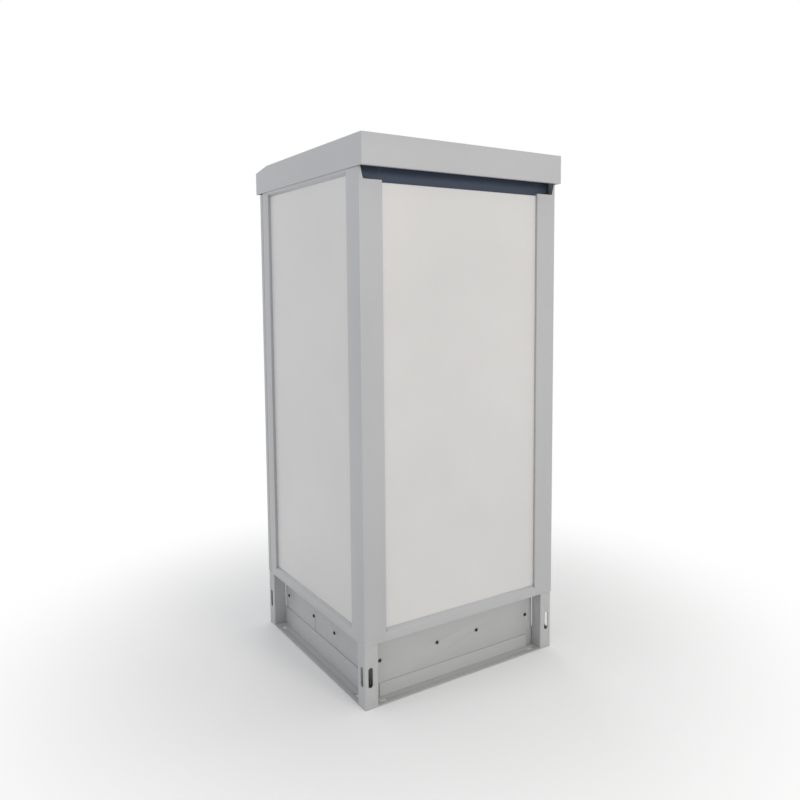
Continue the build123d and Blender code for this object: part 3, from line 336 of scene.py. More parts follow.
class CabinetStage(bpy.types.PropertyGroup):
    """Camera and light."""

    lens: bpy.props.FloatProperty(name="Lens", description="Focal length on a 36 mm wide sensor",
                                  default=33.71, min=10.0, max=200.0)
    position: bpy.props.FloatVectorProperty(name="Camera place", description="Where the camera stands",
                                            default=(1.4054, 2.2641, 1.2575), subtype="TRANSLATION")
    heading: bpy.props.FloatProperty(name="Heading", description="Direction of view, counted from +X",
                                     default=math.radians(-123.41), subtype="ANGLE")
    dip: bpy.props.FloatProperty(name="Dip", description="Angle of view below the horizon",
                                 default=math.radians(4.93), subtype="ANGLE")
    roll: bpy.props.FloatProperty(name="Roll", description="Turn about the line of view", default=-0.0054,
                                  subtype="ANGLE")
    centre: bpy.props.FloatVectorProperty(name="Photo centre", description="Pixel that the lens points at",
                                          default=(423.3, 355.0), size=2)
    key: bpy.props.FloatProperty(name="Key light", description="Power of the large soft light", default=112.0,
                                 min=0.0, max=2000.0, unit="POWER")
    fill: bpy.props.FloatProperty(name="Fill light", description="Power of the weaker lights", default=20.0,
                                  min=0.0, max=2000.0, unit="POWER")
    sky: bpy.props.FloatProperty(name="Sky", description="Strength of the light from all round", default=0.74,
                                 min=0.0, max=3.0)


FINISH_OF_SLOT = {}

MERGE_DISTANCE = 0.005 * MM
MERGE_ANGLE = math.radians(0.4)           # neighbouring faces that turn by less become one
SHARP = math.radians(30)                  # edges that turn by more are rounded
NEAR = 0.1 * MM                           # what lies this close to a level lies on it
CUT_MARGIN = 1 * MM                       # how far a cutter reaches past what it cuts

# Roundings, as shares of the casting edge
LOCK_SHARE = 0.6
BOLT_SHARE = 0.7
GRIP_SHARE = 0.4

# Roundings, as shares of the sheet edge
RAIL_SHARE = 0.7
MOULDED_SHARE = 1.6

# The roof's lower outer edge, by its distance from the box of the roof
HEM_LEVEL = 0.3 * MM
HEM_INSET = 1.6 * MM

# Plinth covers' bolts: their places along each side, and their sockets
COVER_BOLTS = (-0.295, -0.080, 0.080, 0.295)
BOLT_SOCKET = 2.9 * MM
BOLT_SOCKET_DEPTH = 1.8 * MM

# Grip: grooves across its front, counted up from its lower end
GRIP_GROOVES = 9
GROOVE_RADIUS = 3.2 * MM
GROOVE_STANDOFF = 2.2 * MM
GROOVE_START = 24 * MM
GROOVE_PITCH = 9 * MM

# Collar and rain cap of the key cylinder
COLLAR_RADIUS = 13 * MM
COLLAR_BORE = 8.6 * MM
COLLAR_HEIGHT = 1.6 * MM
COLLAR_EDGE = 1.1 * MM
CAP_RADIUS = 9.5 * MM
CAP_HEIGHT = 2.2 * MM
CAP_EDGE = 1.5 * MM
CAP_LIFT = 26 * MM

# Screw heads: shares of their radius (socket, slot's reach and width) or height (dome, levels)
HEAD_DOME = 0.55
HEAD_SOCKET = 0.5
SOCKET_LEVEL = 0.4
SLOT_REACH = 2.4
SLOT_WIDTH = 0.28
SLOT_DEPTH = 0.45

# Screw heads: radius and height of each kind
CAP_RIVET = (2.6 * MM, 1.4 * MM)
HINGE_SCREW = (4.5 * MM, 2.4 * MM)
CASE_SCREW = (3.2 * MM, 1.8 * MM)
FAN_SCREW = (3.4 * MM, 3.0 * MM)
TERMINAL_SCREW = (3.3 * MM, 2.0 * MM)

# Hinges and lock case: the screws' distances from the edges of the leaves and of the case
HINGE_LEVELS = (0.380, 0.905, 1.430)
LEAF_SHEET = 3 * MM
LEAF_OFFSET = 15 * MM                     # a leaf's middle, above or below the hinge's level
FRAME_LEAF_SCREWS = (12 * MM, 32 * MM)
DOOR_LEAF_SCREWS = (10 * MM, 28 * MM)
CASE_SCREW_INSET = 8 * MM

# Fans: guards of rings and spokes that lie on each other, and rotors
GUARD_RINGS = (18 * MM, 32 * MM, 46 * MM, 57 * MM)
GUARD_WIRE = 1.1 * MM
GUARD_LAP = 0.4 * MM
GUARD_EYE = 4 * MM
FAN_SCREW_INSET = 7 * MM
FAN_BLADES = 7
HUB_RADIUS = 20 * MM
HUB_CROWN = 4 * MM
HUB_EDGE = 1 * MM
SHAFT_RADIUS = 1.9 * MM
SHAFT_LENGTH = 5 * MM                     # how far the shaft stands out below the hub
BLADE_LENGTH = 38 * MM
BLADE_CHORD = 31 * MM
BLADE_THICKNESS = 1.7 * MM
BLADE_TWIST = math.radians(-16)
BLADE_PITCH = math.radians(30)
BLADE_REACH = 36 * MM                     # from the axis to the blade's middle
TIP_RADIUS = 53.6 * MM

# Filter mat and gasket
MAT_CELL = 3.2 * MM
MAT_TUFT = 9 * MM
MAT_LOFT = 1.6 * MM
GASKET_EDGE = 2.2 * MM

# Breakers: terminal screws in wells
BREAKER_NOSE = 10 * MM
TERMINAL_INSET = 9 * MM
TERMINAL_SINK = 5 * MM
TERMINAL_TURN = math.radians(20)
WELL_RADIUS = 4 * MM

# Front rails: cage nuts in the holes where the first shelf would go
RACK_UNIT = 44.45 * MM
RAIL_HOLE_START = 120 * MM
RAIL_HOLE_INSET = 7.5 * MM
RAIL_SHEET = 2 * MM
CAGE_NUT_ROWS = (2, 4, 12, 14)
CAGE_NUT_RADIUS = 9 * MM
CAGE_NUT_HEIGHT = 4.5 * MM
CAGE_NUT_EDGE = 1 * MM
CAGE_NUT_BORE = 3 * MM


def make_finishes(colours):
    """Every material of the cabinet, by the record's slot names."""
    FINISH_OF_SLOT.update({
        "frame_paint": powder_coat("powder_coat_frame", colours.frame, 0.42),
        "panel_paint": powder_coat("powder_coat_panel", colours.panel, 0.36),
        # The vent's dark coat is painted shade: a dark sheet put where the roof's overhang casts deep shade
        "vent_paint": powder_coat("powder_coat_vent_painted_shade", colours.vent_painted_shade, 0.6),
        "roof_paint": powder_coat("powder_coat_roof", colours.roof, 0.46),
        "plinth_paint": powder_coat("powder_coat_plinth", colours.plinth, 0.46),
        "zinc_sheet": galvanised_sheet("galvanised_sheet", colours.zinc),
        "lock_zinc": cast_metal("coated_die_casting", colours.casting, 0.45, 0.0),
        "lock_chrome": cast_metal("satin_chrome", colours.chrome, 0.28, 1.0),
        "bolt_steel": cast_metal("blackened_steel", colours.bolt, 0.42, 0.7),
        "black_plastic": moulded_plastic("black_polyamide", colours.black, 0.5, 1.2),
        "gland_plastic": moulded_plastic("grey_polyamide", colours.gland, 0.48, 1.0),
        "breaker_plastic": moulded_plastic("pale_polycarbonate", colours.breaker, 0.4, 0.8),
        "lever_plastic": moulded_plastic("black_gloss_plastic", colours.lever, 0.22, 0.8),
        "gasket_foam": foam_rubber("closed_cell_foam", colours.foam),
        "filter_fibre": filter_fibre("polyester_fibre", colours.fibre),
        "copper_bar": rolled_copper("rolled_copper", colours.copper),
    })


# Modelling helpers

def only(piece):
    """Leaves one object selected and active."""
    bpy.ops.object.select_all(action="DESELECT")
    piece.select_set(True)
    bpy.context.view_layer.objects.active = piece


def finish_piece(piece, body, slot):
    """Puts the piece's place in its mesh, gives it its finish and lets it ride."""
    only(piece)
    bpy.ops.object.transform_apply(location=True, rotation=True, scale=True)
    piece.data.materials.clear()
    piece.data.materials.append(FINISH_OF_SLOT[slot])
    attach(piece, body)
    return piece


def applied(piece, kind, settings):
    """Adds one modifier to the piece and applies it."""
    only(piece)
    bpy.ops.object.modifier_add(type=kind)
    modifier = piece.modifiers[-1]
    for key, value in settings.items():
        setattr(modifier, key, value)
    bpy.ops.object.modifier_apply(modifier=modifier.name)


def bevelled(piece, width, segments=2):
    """Rounds every sharp edge, in place."""
    applied(piece, "BEVEL", {"width": width, "segments": segments, "limit_method": "ANGLE",
                             "angle_limit": SHARP, "use_clamp_overlap": True})


def merged_copy(name):
    """A copy of a CAD node with its triangles merged into faces."""
    only(NODES[name])
    bpy.ops.object.duplicate()
    piece = bpy.context.object
    piece.name = f"{name}_finished"
    piece.parent = None
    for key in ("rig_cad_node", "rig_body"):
        del piece[key]
    bpy.ops.object.mode_set(mode="EDIT")
    bpy.ops.mesh.select_all(action="SELECT")
    bpy.ops.mesh.remove_doubles(threshold=MERGE_DISTANCE)
    bpy.ops.mesh.dissolve_limited(angle_limit=MERGE_ANGLE)
    bpy.ops.object.mode_set(mode="OBJECT")
    return piece


def stands_for(piece, name):
    """Shades the piece, gives it the node's finish and body, and hides the node."""
    smooth(piece)
    finish_piece(piece, BODY_OF_NODE[name], SLOT_OF_NODE[name])
    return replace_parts(piece, name)


def softened(name, edge, segments=2):
    """A finished piece that stands for a CAD node: its faces merged, its edges rounded, shaded smooth."""
    piece = merged_copy(name)
    bevelled(piece, edge, segments)
    return stands_for(piece, name)


def rounded_edges(piece, test, radius, segments=4):
    """Rounds the edges whose two ends pass the test, by their places."""
    only(piece)
    bpy.ops.object.mode_set(mode="EDIT")
    bpy.ops.mesh.select_mode(type="EDGE")
    bpy.ops.mesh.select_all(action="DESELECT")
    bpy.ops.object.mode_set(mode="OBJECT")
    points = piece.data.vertices
    for edge in piece.data.edges:
        edge.select = all(test(points[i].co) for i in edge.vertices)
    bpy.ops.object.mode_set(mode="EDIT")
    bpy.ops.mesh.bevel(offset=radius, offset_type="OFFSET", segments=segments, affect="EDGES")
    bpy.ops.object.mode_set(mode="OBJECT")


def smooth(piece, angle=32.0):
    """Shades the piece smooth, up to edges sharper than angle."""
    only(piece)
    bpy.ops.object.shade_smooth_by_angle(angle=math.radians(angle))


def aimed(place, direction, turn=0.0):
    """The matrix that puts a piece's base at place, with its +Z along direction."""
    aim = Vector(direction).to_track_quat("Z", "Y").to_matrix().to_4x4()
    return Matrix.Translation(Vector(place)) @ aim @ Matrix.Rotation(turn, 4, "Z")


def joined(pieces, name):
    """Several pieces as one."""
    bpy.ops.object.select_all(action="DESELECT")
    for piece in pieces:
        piece.select_set(True)
    bpy.context.view_layer.objects.active = pieces[0]
    bpy.ops.object.join()
    piece = bpy.context.object
    piece.name = name
    return piece


def copied(template, place, name):
    """A copy of the template with its own mesh, at the place."""
    only(template)
    bpy.ops.object.duplicate()
    copy = bpy.context.object
    copy.name = name
    copy.matrix_world = place
    bpy.ops.object.transform_apply(location=True, rotation=True, scale=True)
    return copy


def copies(template, places, name):
    """The template at each of the places, as one piece; the template itself goes."""
    made = [copied(template, place, name) for place in places]
    bpy.data.objects.remove(template)
    return joined(made, name)


def carved(piece, cutter, operation="DIFFERENCE"):
    """Cuts the cutter out of the piece, or keeps what both share; the cutter goes."""
    applied(piece, "BOOLEAN", {"operation": operation, "solver": "EXACT", "object": cutter})
    bpy.data.objects.remove(cutter)
    return piece


def ring(radius, wire, steps, level=0.0):
    """A ring of round wire about the Z axis."""
    bpy.ops.mesh.primitive_torus_add(major_segments=steps, minor_segments=10, major_radius=radius,
                                     minor_radius=wire, location=(0, 0, level))
    return bpy.context.object


def prism(sides, radius, depth):
    """A prism whose base is in the middle of the XY plane."""
    bpy.ops.mesh.primitive_cylinder_add(vertices=sides, radius=radius, depth=depth,
                                        location=(0, 0, depth / 2))
    piece = bpy.context.object
    only(piece)
    bpy.ops.object.transform_apply(location=True, rotation=True, scale=True)
    return piece


def screw_head(radius, height, slotted=False):
    """A low domed screw head with a hexagon socket, or a slot, that stands on the XY plane."""
    head = prism(36, radius, height)
    rounded_edges(head, lambda p: p.z > height - NEAR, height * HEAD_DOME, 5)
    if slotted:
        bpy.ops.mesh.primitive_cube_add(size=1, location=(0, 0, height))
        cutter = bpy.context.object
        cutter.scale = (radius * SLOT_REACH, radius * SLOT_WIDTH, height * SLOT_DEPTH * 2)
        only(cutter)
        bpy.ops.object.transform_apply(location=True, rotation=True, scale=True)
    else:
        cutter = prism(6, radius * HEAD_SOCKET, height)
        cutter.location.z = height * SOCKET_LEVEL
    carved(head, cutter)
    smooth(head, 40)
    return head


class CABINET_OT_finishes(bpy.types.Operator):
    """Makes the finishes and gives each CAD node its own"""
    bl_idname = "cabinet.finishes"
    bl_label = "Finishes"

    def execute(self, context):
        make_finishes(context.scene.cabinet_finishes)
        for name, node in NODES.items():
            node.data.materials.clear()
            node.data.materials.append(FINISH_OF_SLOT[SLOT_OF_NODE[name]])
        return {"FINISHED"}


class CABINET_OT_shell(bpy.types.Operator):
    """Softens the folded walls, panels, roof and door"""
    bl_idname = "cabinet.shell"
    bl_label = "Folded sheets"

    def execute(self, context):
        edge = context.scene.cabinet_sizes.sheet_edge
        for name in ("side_frame_right", "side_frame_left", "rear_bottom_rail", "rear_top_channel",
                     "front_sill", "front_header", "rear_panel", "side_panel_right",
                     "side_panel_left", "door_frame", "door_infill", "vent_mesh", "floor_pan",
                     "ceiling_tray", "roof_brackets", "gland_plate"):
            softened(name, edge)
        roof = merged_copy("roof_hood")
        low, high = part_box("roof_hood")

        def on_hem(p):
            inset = min(p.x - low[0], high[0] - p.x, p.y - low[1], high[1] - p.y)
            return p.z < low[2] + HEM_LEVEL and inset < HEM_INSET

        rounded_edges(roof, on_hem, context.scene.cabinet_sizes.hem_radius)
        bevelled(roof, edge)
        stands_for(roof, "roof_hood")
        return {"FINISHED"}


class CABINET_OT_plinth(bpy.types.Operator):
    """Softens the plinth's posts, ring, covers and bolts"""
    bl_idname = "cabinet.plinth"
    bl_label = "Plinth"

    def execute(self, context):
        edge = context.scene.cabinet_sizes.sheet_edge
        for name in NODES:
            if name.startswith("plinth_") and name != "plinth_cover_bolts":
                softened(name, edge)
        bolts = merged_copy("plinth_cover_bolts")
        low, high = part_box("plinth_cover_bolts")
        level = (low[2] + high[2]) / 2
        places = []
        for along in COVER_BOLTS:
            for side in (-1, 1):
                places.append(aimed((along, side * (high[1] + BOLT_SOCKET_DEPTH), level), (0, -side, 0)))
                places.append(aimed((side * (high[0] + BOLT_SOCKET_DEPTH), along, level), (-side, 0, 0)))
        bevelled(bolts, context.scene.cabinet_sizes.casting_edge * BOLT_SHARE)
        carved(bolts, copies(prism(6, BOLT_SOCKET, 2 * BOLT_SOCKET_DEPTH), places, "bolt_sockets"))
        stands_for(bolts, "plinth_cover_bolts")
        softened("joining_bolts", edge)
        return {"FINISHED"}


class CABINET_OT_lock(bpy.types.Operator):
    """Softens the lock's castings, the grip and the hinges"""
    bl_idname = "cabinet.lock"
    bl_label = "Lock and hinges"

    def execute(self, context):
        edge = context.scene.cabinet_sizes.casting_edge
        for name in ("lock_base", "lock_cylinder", "grip_pin", "hinge_frame_leaves", "hinge_door_leaves",
                     "hinge_pins", "lock_case", "lock_cam", "rod_guides", "rod_upper", "rod_lower"):
            softened(name, edge * LOCK_SHARE)
        low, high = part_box("pull_grip")
        middle = (low[0] + high[0]) / 2
        places = []
        for i in range(GRIP_GROOVES):
            height = low[2] + GROOVE_START + GROOVE_PITCH * i
            places.append(aimed((low[0] - CUT_MARGIN, low[1] - GROOVE_STANDOFF, height), (1, 0, 0)))
        grip = merged_copy("pull_grip")
        groove = prism(24, GROOVE_RADIUS, high[0] - low[0] + 2 * CUT_MARGIN)
        carved(grip, copies(groove, places, "grip_grooves"))
        bevelled(grip, edge * GRIP_SHARE)
        stands_for(grip, "pull_grip")

        # The collar round the key cylinder, and its rain cap swung aside on a rivet
        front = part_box("lock_base")[0][1]
        key_low, key_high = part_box("lock_cylinder")
        level = (key_low[2] + key_high[2]) / 2
        collar = prism(48, COLLAR_RADIUS, COLLAR_HEIGHT)
        carved(collar, prism(48, COLLAR_BORE, COLLAR_HEIGHT + CUT_MARGIN))
        rim = COLLAR_RADIUS - NEAR
        rounded_edges(collar, lambda p: p.z > COLLAR_HEIGHT - NEAR and p.xy.length > rim, COLLAR_EDGE)
        collar = copies(collar, [aimed((middle, front, level), (0, -1, 0))], "lock_collar")
        smooth(collar)
        finish_piece(collar, "door", "lock_chrome")
        cap = prism(40, CAP_RADIUS, CAP_HEIGHT)
        rounded_edges(cap, lambda p: p.z > CAP_HEIGHT - NEAR, CAP_EDGE, 5)
        cap = copies(cap, [aimed((middle, front, level + CAP_LIFT), (0, -1, 0))], "lock_rain_cap")
        smooth(cap)
        finish_piece(cap, "door", "black_plastic")
        place = aimed((middle, front - CAP_HEIGHT, level + CAP_LIFT), (0, -1, 0))
        rivet = copies(screw_head(*CAP_RIVET), [place], "rain_cap_rivet")
        finish_piece(rivet, "door", "lock_chrome")

        # Screws through the hinge leaves and the lock case
        frame_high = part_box("hinge_frame_leaves")[1]
        door_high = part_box("hinge_door_leaves")[1]
        frame_face = frame_high[0] - LEAF_SHEET
        door_face = door_high[1] - LEAF_SHEET
        on_frame = []
        on_door = []
        for height in HINGE_LEVELS:
            for back in FRAME_LEAF_SCREWS:
                on_frame.append(aimed((frame_face, frame_high[1] - back, height - LEAF_OFFSET), (-1, 0, 0)))
            for back in DOOR_LEAF_SCREWS:
                on_door.append(aimed((door_high[0] - back, door_face, height + LEAF_OFFSET), (0, -1, 0)))
        screws = copies(screw_head(*HINGE_SCREW), on_frame, "hinge_frame_screws")
        finish_piece(screws, "cabinet", "bolt_steel")
        screws = copies(screw_head(*HINGE_SCREW), on_door, "hinge_door_screws")
        finish_piece(screws, "door", "bolt_steel")
        case_low, case_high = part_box("lock_case")
        heights = (case_low[2] + CASE_SCREW_INSET, case_high[2] - CASE_SCREW_INSET)
        on_case = [aimed((middle + side * CASE_SCREW_INSET, case_high[1], z), (0, 1, 0))
                   for side in (-1, 1) for z in heights]
        screws = copies(screw_head(*CASE_SCREW), on_case, "lock_case_screws")
        finish_piece(screws, "door", "bolt_steel")
        return {"FINISHED"}


class CABINET_OT_ventilation(bpy.types.Operator):
    """Makes the wire guards, twisted fan blades, screws, filter mat and gasket"""
    bl_idname = "cabinet.ventilation"
    bl_label = "Ventilation"

    def execute(self, context):
        edge = context.scene.cabinet_sizes.sheet_edge
        guard_low, guard_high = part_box("fan_guards")
        level = (guard_low[2] + guard_high[2]) / 2
        low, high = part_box("fan_frame_left")
        inset = (high[1] - low[1]) / 2 - FAN_SCREW_INSET
        guards = []
        screws = []
        rotor = self.rotor()
        for side in ("left", "right"):
            softened(f"fan_frame_{side}", edge * MOULDED_SHARE)
            low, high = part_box(f"fan_frame_{side}")
            middle = (low[0] + high[0]) / 2
            guards.append(Matrix.Translation((middle, 0, level)))
            for x, y in self.corners(inset):
                screws.append(aimed((middle + x, y, low[2]), (0, 0, -1)))
            name = f"fan_rotor_{side}"
            hub_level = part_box(name)[0][2] + SHAFT_LENGTH
            place = Matrix.Translation((middle, 0, hub_level))
            stands_for(copied(rotor, place, f"{name}_finished"), name)
        bpy.data.objects.remove(rotor)
        stands_for(copies(self.guard(inset), guards, "fan_guards_finished"), "fan_guards")
        heads = copies(screw_head(*FAN_SCREW), screws, "fan_screws")
        finish_piece(heads, "cabinet", "bolt_steel")
        self.fibre_mat()
        softened("door_gasket", GASKET_EDGE, 4)
        return {"FINISHED"}

    def corners(self, inset):
        """The four corners of a square about the Z axis, by half its side."""
        reach = inset * math.sqrt(2)
        turns = [math.radians(45 + 90 * i) for i in range(4)]
        return [(reach * math.cos(turn), reach * math.sin(turn)) for turn in turns]

    def guard(self, inset):
        """A finger guard: rings, with spokes over them that end in eyes for the corner screws."""
        reach = inset * math.sqrt(2)
        rings = [ring(radius, GUARD_WIRE, 80, -GUARD_LAP) for radius in GUARD_RINGS]
        spokes = [aimed((0, 0, GUARD_LAP), (x, y, 0)) for x, y in self.corners(inset)]
        eyes = [Matrix.Translation((x, y, GUARD_LAP)) for x, y in self.corners(inset)]
        return joined([*rings, copies(prism(10, GUARD_WIRE, reach - GUARD_EYE), spokes, "spokes"),
                       copies(ring(GUARD_EYE, GUARD_WIRE, 32), eyes, "eyes")], "guard")

    def fibre_mat(self):
        """The filter mat, with its surface drawn in tufts."""
        mat = merged_copy("filter_mat")
        applied(mat, "REMESH", {"mode": "VOXEL", "voxel_size": MAT_CELL})
        tufts = bpy.data.textures.new("tufts", "CLOUDS")
        tufts.noise_scale = MAT_TUFT
        applied(mat, "DISPLACE", {"texture": tufts, "mid_level": 1.0, "strength": MAT_LOFT})
        stands_for(mat, "filter_mat")

    def rotor(self):
        """A fan's hub and its blades, twisted flatter towards their tips, cut round at the duct."""
        low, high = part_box("fan_rotor_left")
        depth = high[2] - low[2] - SHAFT_LENGTH
        hub = prism(64, HUB_RADIUS, depth)
        rounded_edges(hub, lambda p: p.z > depth - NEAR, HUB_CROWN, 5)
        rounded_edges(hub, lambda p: p.z < NEAR, HUB_EDGE, 3)
        shaft = prism(24, SHAFT_RADIUS, SHAFT_LENGTH + CUT_MARGIN)
        shaft.location.z = -SHAFT_LENGTH
        bpy.ops.mesh.primitive_grid_add(x_subdivisions=12, y_subdivisions=8, size=1)
        blade = bpy.context.object
        blade.scale = (BLADE_LENGTH, BLADE_CHORD, 1)
        only(blade)
        bpy.ops.object.transform_apply(location=False, rotation=False, scale=True)
        applied(blade, "SOLIDIFY", {"thickness": BLADE_THICKNESS, "offset": 0.0})
        applied(blade, "SIMPLE_DEFORM", {"deform_method": "TWIST", "deform_axis": "X", "angle": BLADE_TWIST})
        set_out = Matrix.Translation((BLADE_REACH, 0, depth / 2)) @ Matrix.Rotation(BLADE_PITCH, 4, "X")
        places = [Matrix.Rotation(math.tau * i / FAN_BLADES, 4, "Z") @ set_out for i in range(FAN_BLADES)]
        swept = copies(blade, places, "blades")
        carved(swept, prism(96, TIP_RADIUS, depth), "INTERSECT")
        return joined([hub, shaft, swept], "rotor")


class CABINET_OT_equipment(bpy.types.Operator):
    """Finishes the rails, breakers, earth bar and cable glands"""
    bl_idname = "cabinet.equipment"
    bl_label = "Rails and electrics"

    def execute(self, context):
        edge = context.scene.cabinet_sizes.sheet_edge
        for name in ("rack_rail_front_right", "rack_rail_front_left", "rack_rail_rear_right",
                     "rack_rail_rear_left", "din_rail", "earth_bar", "breaker_lever_left",
                     "breaker_lever_right"):
            softened(name, edge * RAIL_SHARE)
        softened("cable_glands", edge * MOULDED_SHARE, 3)
        heads = []
        for side in ("left", "right"):
            name = f"breaker_case_{side}"
            low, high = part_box(name)
            middle = (low[0] + high[0]) / 2
            shoulder = low[1] + BREAKER_NOSE
            wells = []
            for z in (low[2] + TERMINAL_INSET, high[2] - TERMINAL_INSET):
                wells.append(aimed((middle, shoulder - CUT_MARGIN, z), (0, 1, 0)))
                heads.append(aimed((middle, shoulder + TERMINAL_SINK, z), (0, -1, 0), TERMINAL_TURN))
            case = merged_copy(name)
            carved(case, copies(prism(28, WELL_RADIUS, TERMINAL_SINK + CUT_MARGIN), wells, "wells"))
            bevelled(case, edge)
            stands_for(case, name)
        screws = copies(screw_head(*TERMINAL_SCREW, slotted=True), heads, "terminal_screws")
        finish_piece(screws, "cabinet", "lock_chrome")

        nuts = []
        for side in ("left", "right"):
            low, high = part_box(f"rack_rail_front_{side}")
            x = low[0] + RAIL_HOLE_INSET if side == "right" else high[0] - RAIL_HOLE_INSET
            for row in CAGE_NUT_ROWS:
                z = low[2] + RAIL_HOLE_START + RACK_UNIT * row
                nuts.append(aimed((x, low[1] + RAIL_SHEET, z), (0, 1, 0)))
        nut = prism(4, CAGE_NUT_RADIUS, CAGE_NUT_HEIGHT)
        nut.rotation_euler.z = math.radians(45)
        only(nut)
        bpy.ops.object.transform_apply(location=True, rotation=True, scale=True)
        bevelled(nut, CAGE_NUT_EDGE)
        carved(nut, prism(24, CAGE_NUT_BORE, CAGE_NUT_HEIGHT + CUT_MARGIN))
        smooth(nut)
        finish_piece(copies(nut, nuts, "cage_nuts"), "cabinet", "zinc_sheet")
        return {"FINISHED"}


class CABINET_OT_stage(bpy.types.Operator):
    """Sets the floor, the soft lights and the camera at the photograph's place"""
    bl_idname = "cabinet.stage"
    bl_label = "Stage"

    def execute(self, context):
        settings = context.scene.cabinet_stage
        make_world(context.scene, settings.sky)
        make_floor(context.scene.cabinet_sizes.floor_size)
        make_lights(settings)
        make_camera(context.scene, settings)
        return {"FINISHED"}


PHOTO_SIDE = 800          # pixels
SENSOR_WIDTH = 36.0       # millimetres, as lenses are counted
FAR_CLIP = 200.0
FADE_START = 0.65         # the floor turns into white ground between these distances from its middle
FADE_END = 1.7
FLOOR_LEVEL = -0.5 * MM
LIGHT_AIM = (0.0, 0.0, 0.95)
LEFT_SHARE = 0.7          # of the fill lights' power


def make_camera(scene, settings):
    """The photograph's camera: hand height, behind the cabinet's right rear corner."""
    level = math.cos(settings.dip)
    forward = Vector((math.cos(settings.heading) * level, math.sin(settings.heading) * level,
                      -math.sin(settings.dip)))
    turn = forward.to_track_quat("-Z", "Y") @ Quaternion((0, 0, 1), settings.roll)
    bpy.ops.object.camera_add(location=settings.position, rotation=turn.to_euler())
    camera = bpy.context.object
    camera.name = "photo_camera"
    camera.data.sensor_width = SENSOR_WIDTH
    camera.data.lens = settings.lens
    camera.data.shift_x = (PHOTO_SIDE / 2 - settings.centre[0]) / PHOTO_SIDE
    camera.data.shift_y = (settings.centre[1] - PHOTO_SIDE / 2) / PHOTO_SIDE
    camera.data.clip_end = FAR_CLIP
    scene.camera = camera


def make_world(scene, strength):
    """Soft white light from all round, before a white ground that the camera and shiny metal see."""
    scene.view_settings.view_transform = "Standard"
    world = bpy.data.worlds.new("studio")
    world.use_nodes = True
    scene.world = world
    tree = world.node_tree
    soft = tree.nodes["Background"]
    soft.inputs["Color"].default_value = WHITE
    soft.inputs["Strength"].default_value = strength
    ground = add_node(tree, "ShaderNodeBackground", values={"Color": WHITE, "Strength": 1.0})
    path = add_node(tree, "ShaderNodeLightPath")
    seen = add_node(tree, "ShaderNodeMath", {"operation": "MAXIMUM"},
                    links={0: path.outputs["Is Camera Ray"], 1: path.outputs["Is Glossy Ray"]})
    mix = add_node(tree, "ShaderNodeMixShader", links={"Fac": seen.outputs["Value"]})
    tree.links.new(soft.outputs["Background"], mix.inputs[1])
    tree.links.new(ground.outputs["Background"], mix.inputs[2])
    tree.links.new(mix.outputs["Shader"], tree.nodes["World Output"].inputs["Surface"])


def make_floor(size):
    """A plain pale floor that keeps the cabinet's shadow and runs out to the white ground."""
    bpy.ops.mesh.primitive_plane_add(size=size, location=(0, 0, FLOOR_LEVEL))
    floor = bpy.context.object
    floor.name = "studio_floor"
    material, tree, shader, place = new_material("pale_floor", 0.9, colour=linear(FLOOR_COLOUR))
    shader.inputs["Specular IOR Level"].default_value = 0.0
    distance = add_node(tree, "ShaderNodeVectorMath", {"operation": "LENGTH"}, links={0: place})
    fade = add_node(tree, "ShaderNodeMapRange", {"interpolation_type": "SMOOTHSTEP"},
                    values={"From Min": FADE_START, "From Max": FADE_END},
                    links={"Value": distance.outputs["Value"]})
    path = add_node(tree, "ShaderNodeLightPath")
    seen = add_node(tree, "ShaderNodeMath", {"operation": "MAXIMUM"},
                    links={0: path.outputs["Is Camera Ray"], 1: path.outputs["Is Glossy Ray"]})
    share = add_node(tree, "ShaderNodeMath", {"operation": "MULTIPLY"},
                     links={0: fade.outputs["Result"], 1: seen.outputs["Value"]})
    white = add_node(tree, "ShaderNodeEmission", values={"Color": WHITE, "Strength": 1.0})
    mix = add_node(tree, "ShaderNodeMixShader", links={"Fac": share.outputs["Value"]})
    tree.links.new(shader.outputs["BSDF"], mix.inputs[1])
    tree.links.new(white.outputs["Emission"], mix.inputs[2])
    tree.links.new(mix.outputs["Shader"], tree.nodes["Material Output"].inputs["Surface"])
    floor.data.materials.append(material)


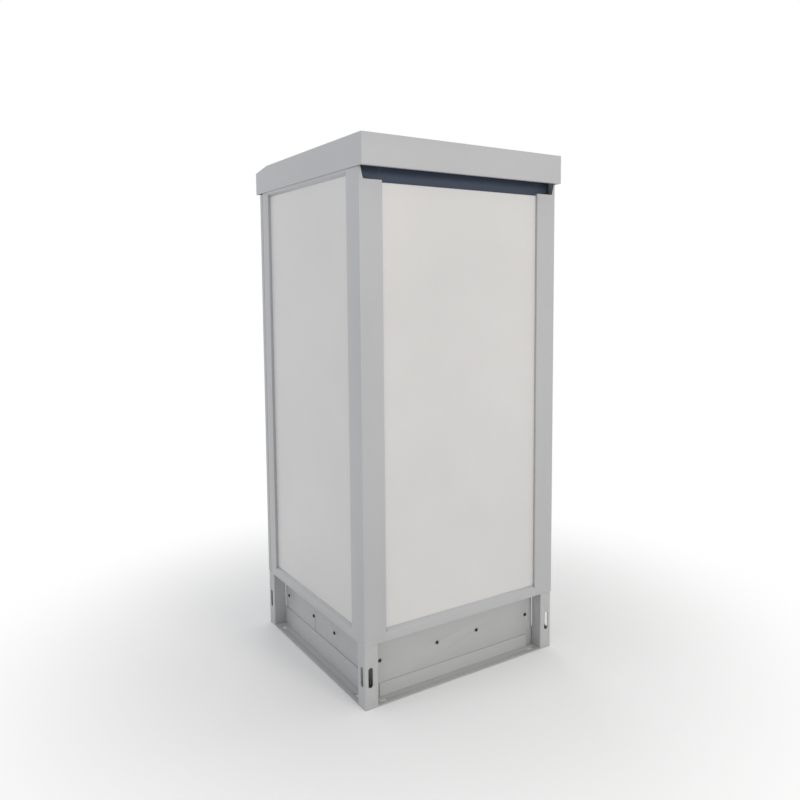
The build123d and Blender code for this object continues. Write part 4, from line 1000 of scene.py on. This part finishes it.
def soft_light(name, place, size, power, hex_colour):
    """One large area light, aimed at the cabinet."""
    bpy.ops.object.light_add(type="AREA", location=place)
    lamp = bpy.context.object
    lamp.name = name
    lamp.data.shape = "SQUARE"
    lamp.data.size = size
    lamp.data.energy = power
    lamp.data.color = linear(hex_colour)
    lamp.rotation_euler = (Vector(LIGHT_AIM) - Vector(place)).to_track_quat("-Z", "Y").to_euler()


def make_lights(settings):
    """A large warm light on the rear face, and weak cooler ones on the right, in front and on the left."""
    soft_light("key", (-1.2, 7.0, 3.0), 1.8, settings.key, "#FFF9F0")
    soft_light("side_fill", (4.8, -0.6, 4.2), 1.4, settings.fill, "#E6EEFF")
    soft_light("front_fill", (-1.6, -4.6, 3.8), 2.2, settings.fill, "#F8FAFF")
    soft_light("left_fill", (-4.6, 0.4, 3.4), 2.2, settings.fill * LEFT_SHARE, "#F8FAFF")


# The add-on

STEPS = (CABINET_OT_finishes, CABINET_OT_shell, CABINET_OT_plinth, CABINET_OT_lock,
         CABINET_OT_ventilation, CABINET_OT_equipment, CABINET_OT_stage)


class CABINET_PT_panel(bpy.types.Panel):
    """Lists the cabinet's steps and settings"""
    bl_label = "Roadside cabinet"
    bl_idname = "CABINET_PT_panel"
    bl_space_type = "VIEW_3D"
    bl_region_type = "UI"
    bl_category = "Cabinet"

    def draw(self, context):
        for step in STEPS:
            self.layout.operator(step.bl_idname)
        for name, group in GROUPS.items():
            box = self.layout.box()
            for key in group.__annotations__:
                box.prop(getattr(context.scene, name), key)


GROUPS = {"cabinet_finishes": CabinetFinishes, "cabinet_sizes": CabinetSizes, "cabinet_stage": CabinetStage}


def register():
    for name, group in GROUPS.items():
        bpy.utils.register_class(group)
        setattr(bpy.types.Scene, name, bpy.props.PointerProperty(type=group))
    for each in (*STEPS, CABINET_PT_panel):
        bpy.utils.register_class(each)


def unregister():
    for each in (CABINET_PT_panel, *reversed(STEPS)):
        bpy.utils.unregister_class(each)
    for name, group in GROUPS.items():
        delattr(bpy.types.Scene, name)
        bpy.utils.unregister_class(group)


def main():
    register()
    for step in STEPS:
        group, action = step.bl_idname.split(".")
        getattr(getattr(bpy.ops, group), action)()


if __name__ == "__main__":
    main()
